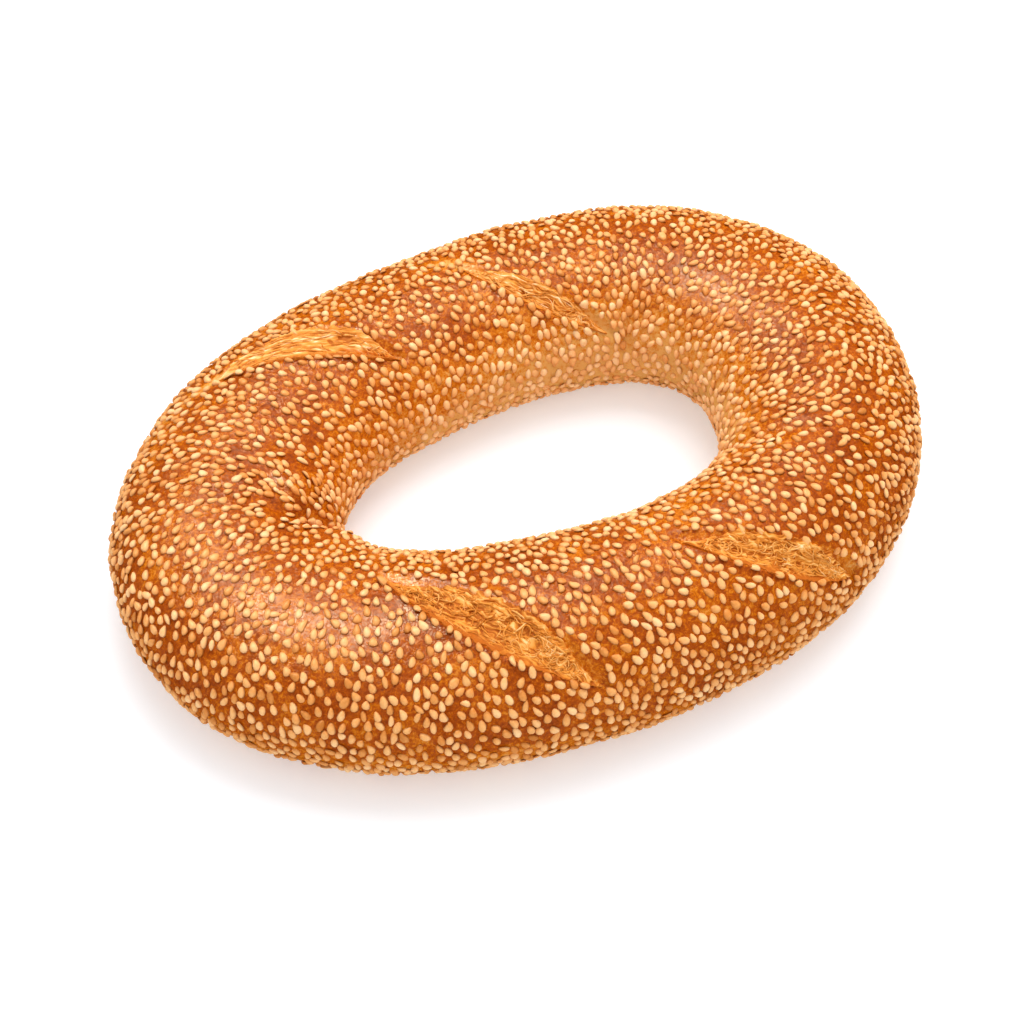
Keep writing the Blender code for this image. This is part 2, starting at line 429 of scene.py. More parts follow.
    def strip(self, mark: Mark) -> tuple[Array, Array, Array]:
        """Middle, stretch and chord of the strip of crust under a mark.

        Args:
            mark: the mark.

        Returns:
            Middle in radians, millimetres for a radian, and the way from start to
            end in millimetres, each round and up.
        """
        start = np.radians(mark.start)
        end = np.radians(mark.end)
        middle = (start + end) / 2.0
        along, across = self.tangents(middle[0], middle[1])
        stretch = np.array((np.linalg.norm(along), np.linalg.norm(across)))
        return middle, stretch, (end - start) * stretch

    def unrolled(self, mark: Mark, around: Array, up: Array) -> tuple[Array, Array]:
        """Place of crust points in a mark's own strip of unrolled crust.

        Args:
            mark: the mark.
            around: way round the ring in radians.
            up: way up the side in radians.

        Returns:
            The share of the way from start to end, and the distance in
            millimetres to the side of the bowed line that joins them.
        """
        middle, stretch, chord = self.strip(mark)
        length = np.hypot(chord[0], chord[1])
        offset_round = wrapped(around - middle[0]) * stretch[0]
        offset_up = wrapped(up - middle[1]) * stretch[1]
        ahead = (offset_round * chord[0] + offset_up * chord[1]) / length
        aside = (offset_up * chord[0] - offset_round * chord[1]) / length
        share = ahead / length + 0.5
        return share, aside - mark.bow * hump(share)

    def rolled(self, mark: Mark, share: Array, aside: Array) -> tuple[Array, Array]:
        """Angles round and up of places in a mark's strip: unrolled undone.

        Args:
            mark: the mark.
            share: share of the way from start to end.
            aside: distance to its side in millimetres.

        Returns:
            Way round and way up in radians.
        """
        middle, stretch, chord = self.strip(mark)
        length = np.hypot(chord[0], chord[1])
        bowed = aside + mark.bow * hump(share)
        ahead = (share - 0.5) * length
        offset_round = (ahead * chord[0] - bowed * chord[1]) / length
        offset_up = (ahead * chord[1] + bowed * chord[0]) / length
        return middle[0] + offset_round / stretch[0], middle[1] + offset_up / stretch[1]

    def opening(self, share: Array) -> Array:
        """How far a slash is open along its way: (4 s (1 - s)) to the 3/4."""
        return hump(share) ** 0.75

    def slash_place(self, slash: Slash, around: Array, up: Array) -> tuple[Array, Array]:
        """Opening of a slash here, and the place across it from -1 to 1.

        Args:
            slash: the slash.
            around: way round the ring in radians.
            up: way up the side in radians.

        Returns:
            The opening and the place across.
        """
        share, aside = self.unrolled(slash, around, up)
        opening = self.opening(share)
        return opening, aside / (0.5 * slash.width * np.maximum(opening, 0.02))

    def slash_relief(self, slash: Slash, around: Array, up: Array) -> Array:
        """A leaning trough between two raised lips, shallow at both ends.

        Args:
            slash: the slash.
            around: way round the ring in radians.
            up: way up the side in radians.

        Returns:
            Height in millimetres.
        """
        opening, place = self.slash_place(slash, around, up)
        leaning = place - self.slash_lean * (1.0 - place ** 2)
        trough = np.clip(1.0 - leaning ** 2, 0.0, 1.0) * (np.abs(place) < 1.0)
        lip = np.exp(-((np.abs(place) - self.slash_lip_place) / self.slash_lip_spread) ** 2)
        return np.sqrt(opening) * (self.slash_lip * lip - slash.depth * trough)

    def crease_relief(self, crease: Crease, around: Array, up: Array) -> Array:
        """A soft groove with a round bottom, fading in slowly, out faster.

        Args:
            crease: the crease.
            around: way round the ring in radians.
            up: way up the side in radians.

        Returns:
            Height in millimetres.
        """
        share, aside = self.unrolled(crease, around, up)
        fade_in, fade_out = self.crease_fade
        reach = soft_step(share / fade_in) * soft_step((1.0 - share) / fade_out)
        return -crease.depth * reach * np.exp(-(aside / (0.42 * crease.width)) ** 2)

    def lump_relief(self, lump: Lump, around: Array, up: Array) -> Array:
        """A round hump that fades with the distance from its middle."""
        distance = self.away(lump.centre, self.loaf(around, up))
        return lump.height * np.exp(-(distance / (0.6 * lump.radius)) ** 2)

    def pucker_relief(self, pucker: Pucker, around: Array, up: Array) -> Array:
        """Folds that fan out: a cosine of the angle seen from the point.

        They fade with the distance from the pucker's middle, and close in
        on the point itself, where the folds would be too thin.

        Args:
            pucker: the pucker.
            around: way round the ring in radians.
            up: way up the side in radians.

        Returns:
            Height in millimetres.
        """
        along, across = self.strip_place(pucker.point, around, up)
        away = self.away(pucker.middle, self.loaf(around, up))
        reach = np.exp(-(away / (0.8 * pucker.radius)) ** 2)
        near = soft_step(np.hypot(along, across) / self.pucker_core)
        return pucker.height * reach * near * np.cos(pucker.folds * np.arctan2(across, along))

    def strip_place(self, point: Angles, around: Array, up: Array) -> tuple[Array, Array]:
        """Millimetres round the ring and up its side from a point.

        Args:
            point: angles round and up in degrees.
            around: way round the ring in radians.
            up: way up the side in radians.

        Returns:
            Distances round and up in millimetres.
        """
        start = np.radians(point)
        along, across = self.tangents(start[0], start[1])
        offset_round = wrapped(around - start[0])
        offset_up = wrapped(up - start[1])
        return offset_round * np.linalg.norm(along), offset_up * np.linalg.norm(across)

    def dough(self, around: Array, up: Array) -> Array:
        """Slight unevenness of hand-rolled dough.

        The swells are plain noise.  The wrinkles are one minus twice the
        size of a noise, so that they meet in fine ridges.

        Args:
            around: way round the ring in radians.
            up: way up the side in radians.

        Returns:
            Height in millimetres.
        """
        points = self.loaf(around, up)
        relief = summed_noise(points, self.swells)
        for height, cell, seed in self.wrinkles:
            relief = relief + height * (1.0 - 2.0 * np.abs(gradient_noise(points, cell, seed)))
        for pucker in self.puckers:
            relief = relief + self.pucker_relief(pucker, around, up)
        return relief

    def crust(self, around: Array, up: Array) -> Array:
        """The loaf with its slashes, creases, lumps and uneven dough.

        Each relief is a height in millimetres along the smooth normal, and
        all of it fades out near the table.

        Args:
            around: way round the ring in radians.
            up: way up the side in radians.

        Returns:
            Places in millimetres, last axis of three.
        """
        smooth = self.loaf(around, up)
        relief = self.dough(around, up)
        for slash in self.slashes:
            relief = relief + self.slash_relief(slash, around, up)
        for crease in self.creases:
            relief = relief + self.crease_relief(crease, around, up)
        for lump in self.lumps:
            relief = relief + self.lump_relief(lump, around, up)
        relief = relief * soft_step(smooth[..., 2] / self.relief_fade)
        return smooth + self.outward(around, up) * relief[..., None]

    def crust_normal(self, around: Array, up: Array, step: float = 0.012) -> Array:
        """Unit normal of the crust with its relief, over about 1 mm.

        Args:
            around: way round the ring in radians.
            up: way up the side in radians.
            step: half the difference in radians.

        Returns:
            Ways of length one, last axis of three.
        """
        along = self.crust(around + step, up) - self.crust(around - step, up)
        across = self.crust(around, up + step) - self.crust(around, up - step)
        return unit(np.cross(along, across))

    def shift(self) -> Array:
        """Way in millimetres from this form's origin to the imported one's.

        The middle of the smooth loaf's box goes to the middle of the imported
        node's box, and the underside to its lowest height.

        Returns:
            The way, as an array of three.
        """
        low, high = (np.array(corner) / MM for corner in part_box(NODE))
        around = np.linspace(0.0, TURN, 720)
        rim = self.loaf(around, np.zeros_like(around))
        middle = (rim.min(axis=0) + rim.max(axis=0)) / 2.0
        shift = (low + high) / 2.0 - middle
        shift[2] = low[2]
        return shift

    def open_slash(self, around: Array, up: Array) -> Array:
        """How deep inside a slash places are.

        It is the slash's reach in the middle, that less one at the rim, and
        0 beyond the reach.

        Args:
            around: way round the ring in radians.
            up: way up the side in radians.

        Returns:
            One number for each place.
        """
        inside = np.zeros_like(around + up)
        for slash in self.slashes:
            opening, place = self.slash_place(slash, around, up)
            inside = np.maximum(inside, (opening > 0.0) * (self.slash_reach - np.abs(place)))
        return np.clip(inside, 0.0, self.slash_reach)


# ------------------------------------------------------------- finishes


def add_node(
    tree: bpy.types.NodeTree,
    kind: str,
    inputs: dict | None = None,
    output: int | str = 0,
    stops: Stops = (),
    **settings: object,
) -> bpy.types.NodeSocket:
    """Add a shader node with its settings and links.

    Args:
        tree: the material's nodes.
        kind: the node's type name.
        inputs: values, or other nodes' output sockets, by socket name or number.
        output: name or number of the wanted output.
        stops: places and sRGB colours, where the node has a colour ramp.
        settings: the node's own properties.

    Returns:
        The wanted output socket.
    """
    node = tree.nodes.new(kind)
    for name, value in settings.items():
        setattr(node, name, value)
    for key, value in (inputs or {}).items():
        if isinstance(value, bpy.types.NodeSocket):
            tree.links.new(value, node.inputs[key])
        else:
            node.inputs[key].default_value = value
    if stops:
        elements = node.color_ramp.elements
        while len(elements) < len(stops):
            elements.new(0.5)
        for element, (place, colour) in zip(elements, stops):
            element.position = place
            element.color = linear(colour)
    return node.outputs[output]


def lumps(place: bpy.types.NodeSocket, size_mm: float, detail: float = 3.0) -> dict:
    """Inputs of a noise about 0.5 whose lumps have a real size in millimetres."""
    return {"Vector": place, "Scale": 1.0 / (size_mm * MM), "Detail": detail}


@dataclass(frozen=True, kw_only=True)
class Finish:
    """What every finish of the bread has: a name and how it takes the light."""

    name: str
    roughness: float
    ior: float
    gloss: float

    def paint(
        self, tree: bpy.types.NodeTree, place: bpy.types.NodeSocket
    ) -> dict[str, bpy.types.NodeSocket]:
        """Patterns of the finish, by the name of the shader's socket."""
        raise NotImplementedError

    def material(self) -> bpy.types.Material:
        """Make the material: plain values first, then the painted patterns.

        Returns:
            The new material, on Object coordinates.
        """
        material = bpy.data.materials.new(self.name)
        material.use_nodes = True
        tree = material.node_tree
        shader = tree.nodes["Principled BSDF"]
        shader.inputs["Roughness"].default_value = self.roughness
        shader.inputs["IOR"].default_value = self.ior
        shader.inputs["Specular IOR Level"].default_value = self.gloss
        place = add_node(tree, "ShaderNodeTexCoord", output="Object")
        for name, socket in self.paint(tree, place).items():
            tree.links.new(socket, shader.inputs[name])
        return material


@dataclass(frozen=True, kw_only=True)
class BakedCrust(Finish):
    """Egg-brown bread crust, baked hard and faintly glossy.

    The bake attribute runs from 0, pale dough that was shaded from the
    heat, to 1, deeply browned; patches some millimetres wide vary it.  It
    also carries a painted shadow line along each slash's lower lip.
    """

    # The eye gets a warm orange brown that changes over the ring, with soft
    # highlights broken up by fine threads.  Real skin is finer grained than
    # 0.6 mm and is drawn that coarse to show at this distance.

    name: str = "baked_crust"
    roughness: float = 0.27
    ior: float = 1.5
    gloss: float = 0.18
    pale: str = "#E6AA5A"
    light: str = "#D67604"
    brown: str = "#AE4C00"
    dark: str = "#7C2E00"
    patch_mm: float = 9.0
    patch_share: float = 0.6
    speckle_mm: float = 1.1
    sheen_mm: float = 6.0
    thread_mm: float = 1.9
    thread_pale_and_highlight: float = 0.26
    grain_mm: float = 0.6
    grain_share: float = 0.4
    bump_mm: float = 0.25
    bump_strength: float = 0.27

    def paint(
        self, tree: bpy.types.NodeTree, place: bpy.types.NodeSocket
    ) -> dict[str, bpy.types.NodeSocket]:
        """Bake colour, mottled, with fine pale threads of stretched skin, partly a painted highlight
        on its wrinkles.

        The level on the colour ramp is the bake, plus patches and specks
        about zero, less a share of the threads.

        Args:
            tree: the material's nodes.
            place: Object coordinates.

        Returns:
            Colour, normal and roughness.
        """
        bake = add_node(tree, ATTRIBUTE, output="Fac", attribute_name="bake")
        patches = add_node(tree, NOISE, {**lumps(place, self.patch_mm, 4.0), "Distortion": 0.6})
        specks = add_node(tree, NOISE, lumps(place, self.speckle_mm))
        threads = self.threads(tree, place)
        level = add_node(
            tree, MATH, {0: patches, 1: self.patch_share, 2: bake}, operation='MULTIPLY_ADD'
        )
        level = add_node(tree, MATH, {0: level, 1: specks}, operation='ADD')
        # The threads are painted paler: stretched skin, and partly a painted highlight.
        level = add_node(
            tree, MATH, {0: threads, 1: -self.thread_pale_and_highlight, 2: level}, operation='MULTIPLY_ADD'
        )
        middle = 0.5 * self.patch_share + 0.5
        level = add_node(tree, MATH, {0: level, 1: middle}, operation='SUBTRACT', use_clamp=True)
        stops = ((0.0, self.pale), (0.34, self.light), (0.6, self.brown), (1.0, self.dark))
        grain = add_node(tree, NOISE, lumps(place, self.grain_mm, 2.0))
        height = add_node(
            tree, MATH, {0: grain, 1: self.grain_share, 2: threads}, operation='MULTIPLY_ADD'
        )
        bump = {"Height": height, "Strength": self.bump_strength, "Distance": self.bump_mm * MM}
        sheen = {
            "Value": add_node(tree, NOISE, lumps(place, self.sheen_mm)),
            "From Min": 0.3,
            "From Max": 0.7,
            "To Min": self.roughness - 0.06,
            "To Max": self.roughness + 0.08,
        }
        return {
            "Base Color": add_node(tree, RAMP, {0: level}, stops=stops),
            "Normal": add_node(tree, BUMP, bump),
            "Roughness": add_node(tree, "ShaderNodeMapRange", sheen),
        }

    def threads(
        self, tree: bpy.types.NodeTree, place: bpy.types.NodeSocket
    ) -> bpy.types.NodeSocket:
        """Fine stretched skin: thin lines where a wandering noise is near its middle.

        A line is the sixth power of one minus four times the distance of
        the noise from 0.5, so it is 1 on the line and 0 beside it.

        Args:
            tree: the material's nodes.
            place: Object coordinates.

        Returns:
            The lines' height, from 0 to 1.
        """
        noise = add_node(tree, NOISE, {**lumps(place, self.thread_mm, 1.5), "Distortion": 2.2})
        away = add_node(tree, MATH, {0: noise, 1: 0.5}, operation='SUBTRACT')
        away = add_node(tree, MATH, {0: away}, operation='ABSOLUTE')
        near = add_node(
            tree, MATH, {0: away, 1: -4.0, 2: 1.0}, operation='MULTIPLY_ADD', use_clamp=True
        )
        return add_node(tree, MATH, {0: near, 1: 6.0}, operation='POWER')


@dataclass(frozen=True, kw_only=True)
class TornCrumb(Finish):
    """Torn wheat crumb where a slash opened: dry, golden and fibrous.

    The lift attribute is mostly the height of a fibre over the gaps beside
    it: ridges get a painted highlight and the gaps between them painted
    shade in a deeper gold.
    """

    # The eye gets open, dry bread that stands out pale and dull against the
    # glossy crust.  Its real grain is finer than the 0.3 mm drawn here.

    name: str = "torn_crumb"
    roughness: float = 0.7
    ior: float = 1.4
    gloss: float = 0.2
    gap: str = "#BC6010"
    gold: str = "#EA9434"
    ridge: str = "#FABC6A"
    tip: str = "#FFE2B0"
    patch_mm: float = 3.0
    patch_share: float = 0.7
    grain_mm: float = 0.3
    bump_mm: float = 0.12
    bump_strength: float = 0.5

    def paint(
        self, tree: bpy.types.NodeTree, place: bpy.types.NodeSocket
    ) -> dict[str, bpy.types.NodeSocket]:
        """Colour by the height of the fibres, as painted highlight and shade, a little patchy, and a
        fine grain.

        Args:
            tree: the material's nodes.
            place: Object coordinates.

        Returns:
            Colour and normal.
        """
        lift = add_node(tree, ATTRIBUTE, output="Fac", attribute_name="lift")
        patches = add_node(tree, NOISE, lumps(place, self.patch_mm))
        level = add_node(
            tree, MATH, {0: patches, 1: self.patch_share, 2: lift}, operation='MULTIPLY_ADD'
        )
        middle = 0.5 * self.patch_share
        level = add_node(tree, MATH, {0: level, 1: middle}, operation='SUBTRACT', use_clamp=True)
        # Gap and gold are painted shade low in the crumb; ridge and tip are painted highlight on the
        # high fibres.
        stops = ((0.0, self.gap), (0.4, self.gold), (0.8, self.ridge), (1.0, self.tip))
        grain = add_node(tree, NOISE, lumps(place, self.grain_mm))
        bump = {"Height": grain, "Strength": self.bump_strength, "Distance": self.bump_mm * MM}
        return {
            "Base Color": add_node(tree, RAMP, {0: level}, stops=stops),
            "Normal": add_node(tree, BUMP, bump),
        }


@dataclass(frozen=True, kw_only=True)
class SeedHull(Finish):
    """Hulled sesame seed, toasted by the oven: smooth, waxy and pale gold.

    The tone attribute is each seed's own shade, paler on pale crust.  The tip
    attribute runs from the blunt end to the point, which browns first, and the
    edge attribute is 1 where the hull meets the crust; the dark rim there is
    partly glaze brown and partly painted contact shade.
    """

    # The eye gets plump pale seeds, no two the same, each with a dark rim,
    # partly glaze brown and partly painted contact shade, that sets it off from the next.

    roughness: float = 0.5
    ior: float = 1.47
    gloss: float = 0.25
    light: str
    body: str
    browned: str
    # The rim colour is partly glaze brown and partly painted shade where the seed meets the crust.
    rim: str = "#8E3E06"
    tip_browning: float = 0.6
    cloud_mm: float = 0.9
    cloud_share: float = 0.7
    rim_glaze_and_shade: float = 0.9

    def paint(
        self, tree: bpy.types.NodeTree, place: bpy.types.NodeSocket
    ) -> dict[str, bpy.types.NodeSocket]:
        """Colour by each seed's tone, cloudy, with a browned tip and a rim of glaze brown and
        painted contact shade.

        Args:
            tree: the material's nodes.
            place: Object coordinates.

        Returns:
            Colour.
        """
        tone, tip, edge = (
            add_node(tree, ATTRIBUTE, output="Fac", attribute_name=name)
            for name in ("tone", "tip", "edge")
        )
        clouds = add_node(tree, NOISE, lumps(place, self.cloud_mm, 2.0))
        tip = add_node(tree, MATH, {0: tip, 1: 3.0}, operation='POWER')
        level = add_node(
            tree, MATH, {0: tip, 1: self.tip_browning, 2: tone}, operation='MULTIPLY_ADD'
        )
        level = add_node(
            tree, MATH, {0: clouds, 1: self.cloud_share, 2: level}, operation='MULTIPLY_ADD'
        )
        middle = 0.5 * self.cloud_share
        level = add_node(tree, MATH, {0: level, 1: middle}, operation='SUBTRACT', use_clamp=True)
        stops = ((0.0, self.light), (0.5, self.body), (1.0, self.browned))
        hull = add_node(tree, RAMP, {0: level}, stops=stops)
        # Painted contact shade, with glaze brown, darkens the hull towards its rim.
        edge = add_node(tree, MATH, {0: edge, 1: 1.6}, operation='POWER')
        glaze_and_shade = add_node(tree, MATH, {0: edge, 1: self.rim_glaze_and_shade}, operation='MULTIPLY')
        mixed = {0: glaze_and_shade, 6: hull, 7: linear(self.rim)}
        return {"Base Color": add_node(tree, "ShaderNodeMix", mixed, 2, data_type='RGBA')}


class SeedShade(Enum):
    """How far a seed is toasted, with its finish."""

    PALE = SeedHull(name="pale_sesame", light="#FFD096", body="#F9BA78", browned="#EA9C50")
    GOLDEN = SeedHull(name="golden_sesame", light="#FAC282", body="#F3AE66", browned="#E08C3E")
    TOASTED = SeedHull(name="toasted_sesame", light="#F4B470", body="#EA9C50", browned="#CC7A2E")


# ------------------------------------------------------------- the bread


@dataclass
class CrustSkin:
    """The whole crust as one closed surface, finer above than below."""

    shape: LoafShape
    finish: BakedCrust = field(default_factory=BakedCrust)
    steps_round: int = 832
    steps_side: int = 120
    packing: float = 0.42
    baked: float = 0.66
    unevenness: Noises = ((0.14, 30.0, 11), (0.12, 9.0, 12))
    wall_pale: float = 0.62
    wall_start: float = 112.0
    wall_rise: float = 70.0
    wall_end: float = 260.0
    wall_least: float = 0.2
    wall_palest: float = 0.35
    foot_pale: float = 0.34
    foot_height: float = 24.0
    lip_shadow: float = 0.35
    streak_pale: float = 0.45
    streak_width: float = 2.2
    torn_pale: float = 0.16

    def side_angles(self) -> Array:
        """Angles up the side, dense on the crest: an even angle plus packing times its cosine."""
        even = np.linspace(0.0, TURN, self.steps_side, endpoint=False)
        return even + self.packing * np.cos(even)

    def bake(self, around: Array, up: Array, points: Array) -> Array:
        """How brown the crust is: 0 pale dough, 1 deeply baked.

        The crest is brown, and a thin line of painted shadow darkens the crust
        just outside the lower lip of a slash.  The wall of the hole, most of all
        at its +X end, the foot of the side, the torn edges and the streaks
        before the slashes are paler.

        Args:
            around: way round the ring in radians.
            up: way up the side in radians.
            points: places in millimetres, last axis of three.

        Returns:
            One number from 0 to 1 for each place.
        """
        level = self.baked + summed_noise(points, self.unevenness)
        rise = np.degrees(up)
        wall = soft_step((rise - self.wall_start) / self.wall_rise) * (rise < self.wall_end)
        side = soft_step(0.5 + 0.8 * np.cos(around - self.wall_palest))
        wall = wall * (self.wall_least + (1.0 - self.wall_least) * side)
        level = level - self.wall_pale * wall
        foot = soft_step((self.foot_height - points[..., 2]) / self.foot_height)
        level = level - self.foot_pale * foot
        torn = soft_step((self.shape.open_slash(around, up) - 0.5) / 0.2)
        for slash in self.shape.slashes:
            opening, place = self.shape.slash_place(slash, around, up)
            # Painted shadow: a thin dark line on the crust just outside the slash's lower lip.
            lip = np.exp(-((place + 1.14) / 0.11) ** 2)
            level = level + self.lip_shadow * opening * lip
            level = level - self.streak_pale * self.streak(slash, around, up)
        return np.clip(level - self.torn_pale * torn, 0.0, 1.0)

    def streak(self, slash: Slash, around: Array, up: Array) -> Array:
        """Pale streak before a slash, where the skin only stretched.

        Args:
            slash: the slash.
            around: way round the ring in radians.
            up: way up the side in radians.

        Returns:
            One number from 0 to 1 for each place.
        """
        if slash.trail == 0.0:
            return np.zeros_like(around)
        share, aside = self.shape.unrolled(slash, around, up)
        reach = soft_step((share + slash.trail) / slash.trail) * soft_step((0.2 - share) / 0.1)
        return reach * np.exp(-(aside / self.streak_width) ** 2)

    def build(self) -> bpy.types.Object:
        """Make the crust: the shape's surface on a grid round and up.

        Returns:
            The crust.
        """
        around = np.linspace(0.0, TURN, self.steps_round, endpoint=False)
        around, up = np.meshgrid(around, self.side_angles(), indexing="ij")
        points = self.shape.crust(around, up)
        bake = self.bake(around, up, points)
        quads = grid_quads(self.steps_round, self.steps_side, True, True)
        placed = (points.reshape(-1, 3) + self.shape.shift()) * MM
        return mesh_piece(
            "baked_crust", placed, quads, self.finish.material(), {"bake": bake.ravel()}
        )


@dataclass
class TornSlash:
    """Torn crumb that fills one slash, and the strands that lie on it."""

    shape: LoafShape
    slash: Slash
    material: bpy.types.Material
    seed: int
    steps_along: int = 360
    steps_across: int = 84
    lift: float = 0.2
    swell: float = 0.7
    thick: float = 1.4
    ridge: float = 0.65
    strand_points: int = 13
    strand_sides: int = 4
    strand_radius: tuple[float, float] = (0.11, 0.27)
    strand_length: tuple[float, float] = (2.0, 6.5)
    strand_ridge: float = 0.62
    strand_arch: tuple[float, float] = (-0.15, 0.3)
    strand_turn: float = 0.16
    strand_bend: float = 0.14
    strand_shade: float = 0.42
    strand_shade_scatter: float = 0.18
    hugging: float = 0.85
    overlap: float = 1.04
    buried: float = 0.5
    pit_mm: float = 2.4
    pit_start: float = 0.42
    pit_depth: float = 2.2
    slant: float = -0.12
    swings: Noises = ((0.9, 8.0, 20), (1.3, 2.8, 30))
    warps: Noises = ((1.8, 5.0, 40), (0.7, 1.9, 50))
    fibre_ridges: Noises = ((0.5, 1.4, 60), (0.5, 0.65, 70))
    ragged: Noises = ((0.13, 2.4, 90), (0.09, 0.9, 91))

    @property
    def length(self) -> float:
        """Length of the slash in millimetres, along its chord."""
        return float(np.hypot(*self.shape.strip(self.slash)[2]))

    def crumb_share(self, ahead: Array) -> Array:
        """Share of the crumb's own way, from 0 at its first end to 1 at its last."""
        first, last = self.slash.crumb
        return (ahead / self.length - first) / (last - first)

    def half_width(self, ahead: Array) -> Array:
        """Half the width of the torn crumb at a distance along the slash.

        Args:
            ahead: distance along the slash in millimetres.

        Returns:
            Millimetres.
        """
        share = self.crumb_share(ahead)
        ends = soft_step(share / self.slash.taper[0])
        ends = ends * soft_step((1.0 - share) / self.slash.taper[1])
        return 0.5 * self.slash.width * self.shape.opening(ahead / self.length) * np.sqrt(ends)

    def hug(self, ahead: Array) -> Array:
        """Shift of the crumb to the lower rim where it is narrower than the slash."""
        gap = 0.5 * self.slash.width * self.shape.opening(ahead / self.length)
        return -self.hugging * (gap - self.half_width(ahead))

    def on_cloth(self, ahead: Array, aside: Array) -> Array:
        """Points of the slash's own flat cloth, in millimetres."""
        return np.stack(np.broadcast_arrays(ahead, aside, 17.3 * self.seed), axis=-1)

    def pull(self, ahead: Array, aside: Array) -> Array:
        """Angle of the fibres from the slash's way, where the dough tore.

        It swings slowly by noise at 8 mm, with eddies by noise at 2.8 mm,
        both weak along the tight lower rim.

        Args:
            ahead: distance along the slash in millimetres.
            aside: distance to its side in millimetres.

        Returns:
            Angle in radians.
        """
        swing = summed_noise(self.on_cloth(ahead, aside), self.swings, self.seed)
        loose = 0.2 + 0.8 * self.loose(ahead, aside)
        return self.curl(ahead) * loose * swing + self.slant

    def curl(self, ahead: Array) -> Array:
        """How wildly the fibres swing: they run straight where the tear began."""
        return self.slash.curl * (0.4 + 0.9 * soft_step((ahead / self.length - 0.3) / 0.35))

    def loose(self, ahead: Array, aside: Array) -> Array:
        """How loosely the crumb hangs: 0 at the lower rim, 1 from the middle up."""
        place = (aside - self.hug(ahead)) / np.maximum(self.half_width(ahead), 0.3)
        return soft_step((place + 0.95) / 0.7)

    def fibres(self, ahead: Array, aside: Array) -> Array:
        """Height of the crumb from 0 to 1: long ridges at two widths.

        The cloth is squeezed along the slash, to a fifth where it curls
        fully, and warped by noise, so a noise of 1.4 mm makes ridges some
        7 mm long that wander.  A ridge is one minus 2.2 times the size of
        the noise.  Pits are sunk where a slower noise is high.  Real fibres
        are a few tenths of a millimetre wide; these are drawn coarser.

        Args:
            ahead: distance along the slash in millimetres.
            aside: distance to its side in millimetres.

        Returns:
            One number for each place.
        """
        cloth = self.on_cloth(ahead, aside)
        squeezed = cloth * (0.08 + 0.13 * self.slash.curl, 1.0, 1.0)
        squeezed[..., 1] += self.curl(ahead) * summed_noise(cloth, self.warps, self.seed)
        ridges = np.zeros(cloth.shape[:-1])
        for part, cell, seed in self.fibre_ridges:
            valleys = np.clip(2.2 * np.abs(gradient_noise(squeezed, cell, seed)), 0.0, 1.0)
            ridges = ridges + part * (1.0 - valleys)
        pits = gradient_noise(cloth, self.pit_mm, 80 + self.seed) - self.pit_start
        pits = self.pit_depth * np.clip(pits, 0.0, 1.0)
        loose = self.loose(ahead, aside)
        return np.clip((0.45 + 0.55 * loose) * ridges - loose * pits, -0.6, 1.0)

    def surface(self, ahead: Array, aside: Array, height: Array) -> Array:
        """Places at a height over the slash's trough, in metres.

        Args:
            ahead: distance along the slash in millimetres.
            aside: distance to its side in millimetres.
            height: millimetres over the trough.

        Returns:
            Places in metres, last axis of three.
        """
        around, up = self.shape.rolled(self.slash, ahead / self.length, aside)
        normal = self.shape.outward(around, up)
        points = self.shape.crust(around, up) + normal * height[..., None]
        return (points + self.shape.shift()) * MM

    def rise(self, ahead: Array, place: Array) -> Array:
        """Height of the crumb's body: swollen in the middle, with its flap.

        The swell is a parabola across the slash.  The flap is a rounded
        ridge near the lower rim, with a gap behind it towards the end.

        Args:
            ahead: distance along the slash in millimetres.
            place: place across, from -1 to 1.

        Returns:
            Height in millimetres.
        """
        share = ahead / self.length
        flap = np.exp(-((place + 0.74) / 0.17) ** 2) * soft_step((share - 0.2) / 0.3)
        gap = np.exp(-((place + 0.38) / 0.16) ** 2) * soft_step((share - 0.55) / 0.15)
        return self.swell * (1.0 - place ** 2) + self.slash.flap * (flap - 1.5 * gap)

    def patch(self) -> bpy.types.Object:
        """A closed pad of crumb: fibres on top, its rim and base buried.

        Across the pad the place goes from rim to rim on top and back again
        below.  The rim is ragged by noise at 2.4 and 0.9 mm.

        Returns:
            The pad.
        """
        first, last = self.slash.crumb
        ahead = np.linspace(first, last, self.steps_along)[:, None] * self.length
        top = np.linspace(-1.0, 1.0, self.steps_across)
        place = np.concatenate((top, top[-2:0:-4]))[None, :]
        on_top = (np.arange(place.size) < self.steps_across)[None, :]
        edge = self.on_cloth(ahead, 9.0 * np.sign(place))
        ragged = 1.0 + summed_noise(edge, self.ragged)
        aside = place * self.overlap * self.half_width(ahead) * ragged + self.hug(ahead)
        fibres = self.fibres(ahead, aside)
        sunk = soft_step((np.abs(place) - 0.9) / 0.1)
        ridge = self.ridge * (0.45 + 0.55 * self.slash.curl)
        above = self.lift + self.rise(ahead, place) + ridge * fibres
        above = above * (1.0 - sunk) - self.buried * sunk
        share = self.crumb_share(ahead)
        ends = soft_step(share / 0.06) * soft_step((1.0 - share) / 0.06)
        above = above * ends - self.buried * (1.0 - ends)
        points = self.surface(ahead, aside, np.where(on_top, above, -self.thick))
        quads = grid_quads(self.steps_along, place.size, False, True)
        faces = np.concatenate((quads, self.end_caps(self.steps_along, place.size)))
        # Colour level by fibre height: painted highlight on the ridges, painted shade in the gaps,
        # toned down near the rim.
        rim = soft_step((np.abs(place) - 0.6) / 0.4)
        lift = self.slash.tone - 0.1 + 1.1 * fibres * (1.0 - 0.3 * rim)
        lift = lift + 0.08 * place + self.bleached(ahead)
        return mesh_piece(
            f"torn_crumb_{self.slash.name}",
            points.reshape(-1, 3),
            faces,
            self.material,
            {"lift": lift.ravel()},
        )

